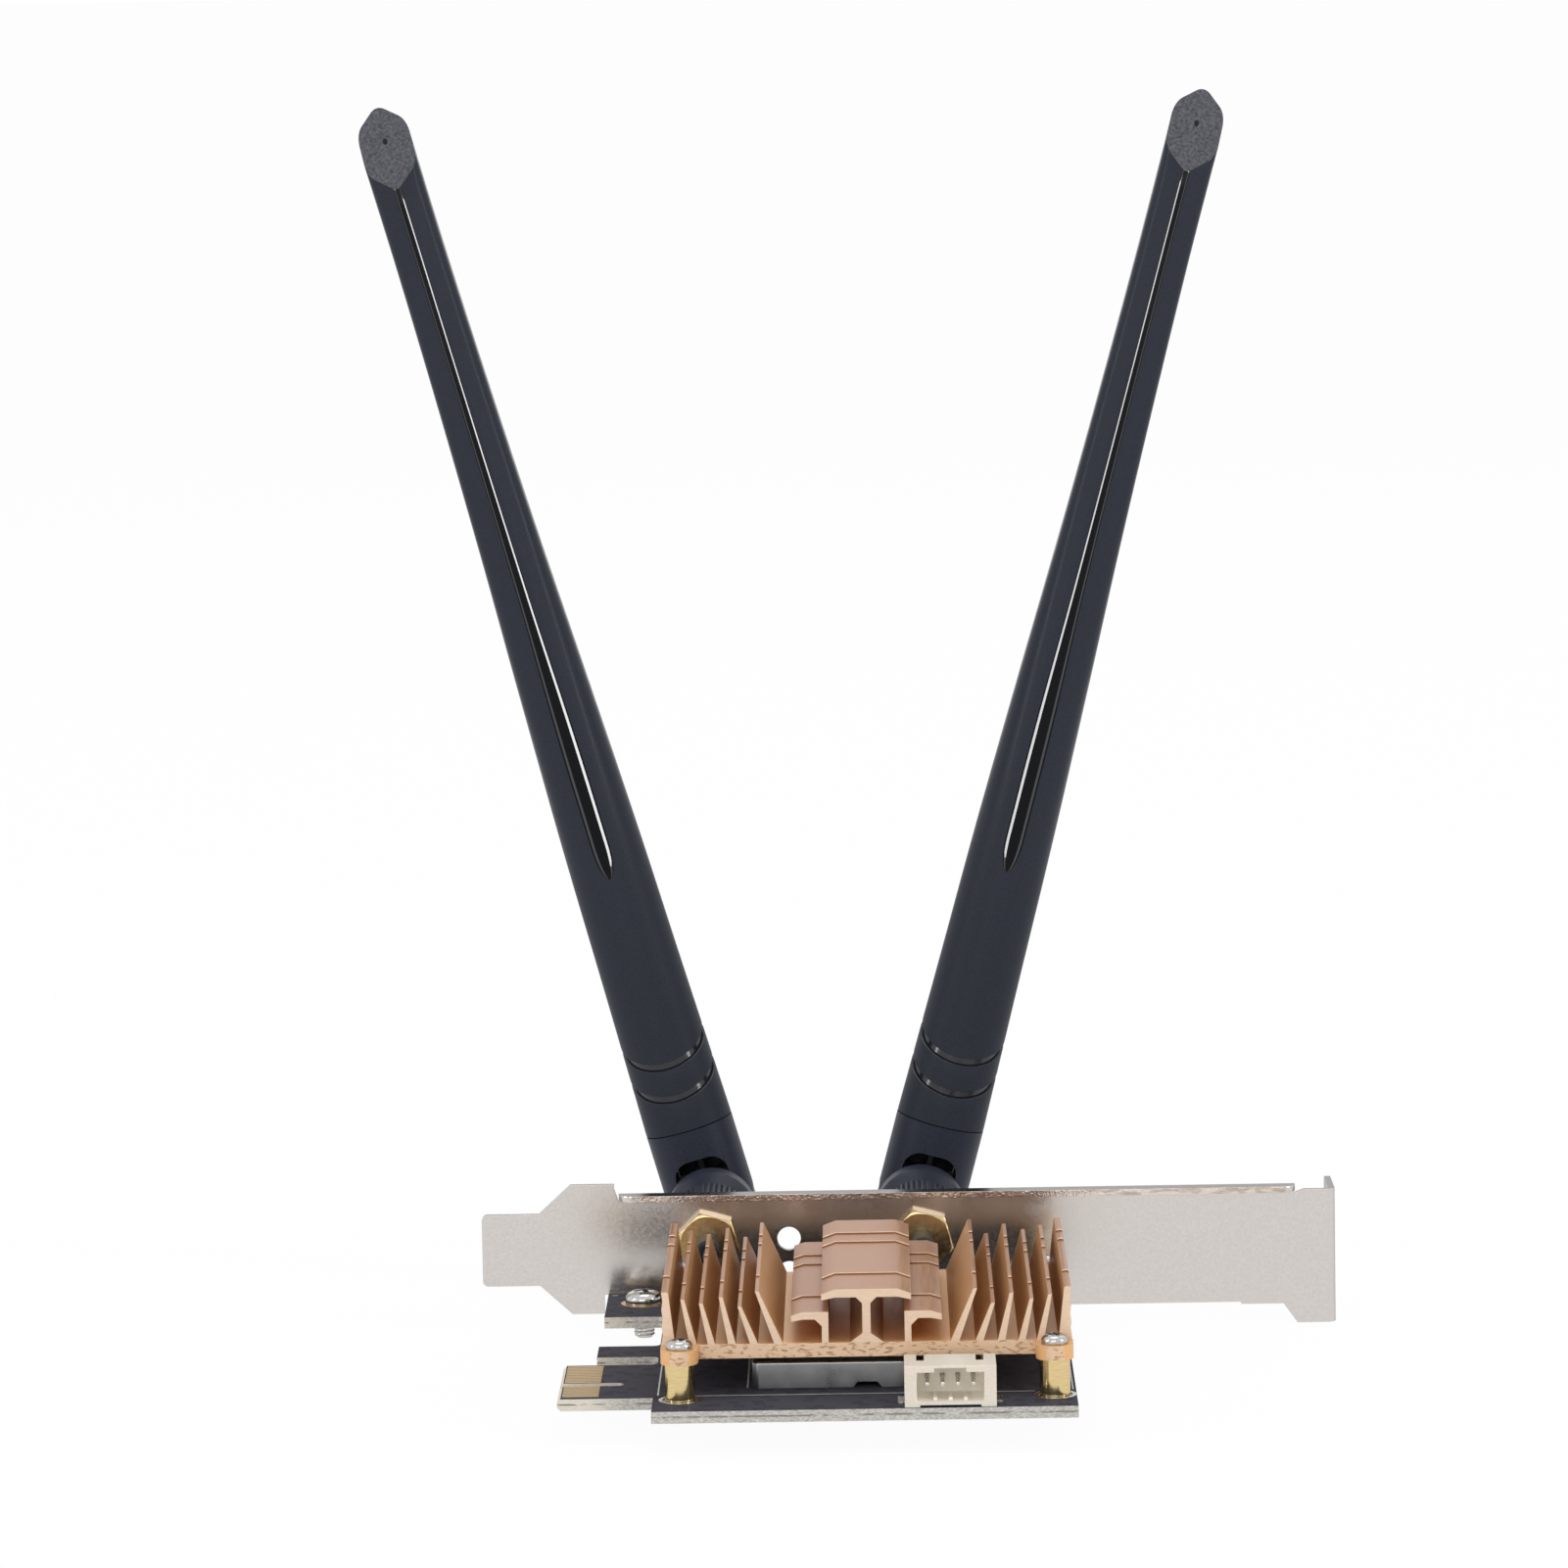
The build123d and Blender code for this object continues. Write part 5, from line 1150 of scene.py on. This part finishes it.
def rolled_thread(diameter, length, pitch, depth):
    """A threaded shank that hangs from the origin's plane."""
    rings = round(length / pitch * THREAD_STEPS) + 1

    def place(ring, column):
        fallen = length * ring / (rings - 1)
        turn = (fallen / pitch + column / THREAD_COLUMNS) % 1.0
        valley = min(1.0, max(0.0, 1.6 * abs(2 * turn - 1) - 0.3))
        point_in = max(0.0, THREAD_TIP - (length - fallen))
        radius = diameter / 2 - depth * valley - point_in
        angle = 2 * pi * column / THREAD_COLUMNS
        return radius * cos(angle), radius * sin(angle), -fallen
    shank = rolled_tube("shank", THREAD_COLUMNS, rings, place)
    shank.data.materials.append(screw_nickel)
    return shank


def joined(pieces, name):
    select_only(*pieces)
    if len(pieces) > 1:
        bpy.ops.object.join()
    whole = bpy.context.object
    whole.name = name
    return whole


print("screw helpers ready")

# %% Two sizes of screw
def make_screws(node, head, head_height, shank, pitch):
    """Screws at every corner of a node's box, seated where the node's heads are."""
    low, high = (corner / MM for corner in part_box(node))
    seat = high.z - head_height
    pattern = pan_head(head, head_height)
    thread = rolled_thread(shank, seat - low.z, pitch, 0.22 * pitch)
    pattern = joined([pattern, thread], "screw")
    rows = {round(y, 3) for y in (low.y + head / 2, high.y - head / 2)}
    spots = [(x, y) for x in (low.x + head / 2, high.x - head / 2) for y in sorted(rows)]
    copies = []
    for n, (x, y) in enumerate(spots):
        copy = pattern.copy()
        copy.data = pattern.data.copy()
        bpy.context.scene.collection.objects.link(copy)
        select_only(copy)
        copy.location = Vector((x, y, seat)) * MM
        copy.rotation_euler.z = radians(FIRST_TURN + NEXT_TURN * n)
        bpy.ops.object.transform_apply()
        copies.append(copy)
    bpy.data.objects.remove(pattern)
    screws = joined(copies, node + "_finished")
    smooth(screws, 30.0)
    print(screws.name, "screws:", len(spots), "faces:", len(screws.data.polygons))
    return settle(screws, "root", "screw_nickel", node)


make_screws("heatsink_screws", 3.5, 1.3, 1.9, 0.4)
make_screws("bracket_screws", 5.2, 1.9, 2.9, 0.5)

# %% [markdown]
# ## Printed lines and ring pads
# Thin white lines are printed round the heatsink's place on the board. Tinned rings lie round
# the standoffs' feet and a gilded one under each of the bracket's screws. A line is a flat block
# with broken edges, and a ring starts as a circle that is extruded inwards and thickened.

# %% Print and pads
board_low, board_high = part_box("circuit_board")
board_face = board_high.z / MM
INK = 0.02
PAD_THICKNESS = 0.035
RING_SIDES = 48
# Width of what stands on a ring, and the ring's outer and inner diameter
STANDOFF_WIDTH, STANDOFF_RING = 3.95, (5.6, 3.98)
HEAD_WIDTH, HEAD_RING = 5.2, (6.4, 3.6)
# Each line: first corner and far corner on the board, in mm
silk_lines = (
    ((13.06, -7.55), (13.26, 12.0)),
    ((67.34, -7.55), (67.54, 41.5)),
    ((17.5, -8.25), (62.5, -8.05)),
    ((24.74, -3.45), (24.94, 25.0)),
    ((4.8, 60.8), (5.6, 61.0)),
)


def thin_plate(first, far):
    """A flat strip on the board with softened edges."""
    centre = ((first[0] + far[0]) / 2, (first[1] + far[1]) / 2, board_face + INK / 2)
    plate = block((far[0] - first[0], far[1] - first[1], INK), centre)
    apply_modifier(plate, "BEVEL", width=0.3 * INK * MM, segments=1)
    return plate


def ring_pad(spot, outer, inner):
    """A flat ring on the board's face, from its outer and inner diameter."""
    bpy.ops.object.select_all(action="DESELECT")
    bpy.ops.mesh.primitive_circle_add(vertices=RING_SIDES, radius=outer / 2 * MM)
    ring = bpy.context.object
    with editing(ring):
        bpy.ops.mesh.extrude_edges_move()
        bpy.ops.transform.resize(value=(inner / outer, inner / outer, 1), center_override=(0, 0, 0))
    apply_modifier(ring, "SOLIDIFY", thickness=PAD_THICKNESS * MM, offset=0.0)
    with editing(ring):
        bpy.ops.mesh.normals_make_consistent(inside=False)
    apply_modifier(ring, "BEVEL", width=0.3 * PAD_THICKNESS * MM, segments=2)
    ring.location = Vector((*spot, board_face + PAD_THICKNESS / 2)) * MM
    bpy.ops.object.transform_apply()
    return ring


def corner_spots(node, diameter):
    """Where round pieces stand that reach the corners of a node's box."""
    low, high = (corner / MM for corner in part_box(node))
    columns = (low.x + diameter / 2, high.x - diameter / 2)
    rows = sorted({round(low.y + diameter / 2, 3), round(high.y - diameter / 2, 3)})
    return [(x, y) for x in columns for y in rows]


silk = joined([thin_plate(*line) for line in silk_lines], "silk_lines")
silk.data.materials.append(silk_white)
settle(silk, "root", "board_mask")
foot_spots = corner_spots("standoffs", STANDOFF_WIDTH)
foot_rings = joined([ring_pad(spot, *STANDOFF_RING) for spot in foot_spots], "standoff_rings")
foot_rings.data.materials.append(tin_pin)
settle(foot_rings, "root", "tin_pin")
screw_spots = corner_spots("bracket_screws", HEAD_WIDTH)
screw_rings = joined([ring_pad(spot, *HEAD_RING) for spot in screw_spots], "screw_rings")
screw_rings.data.materials.append(contact_gold)
settle(screw_rings, "root", "contact_gold")
for rings in (foot_rings, screw_rings):
    smooth(rings)
print("printed lines:", len(silk_lines))
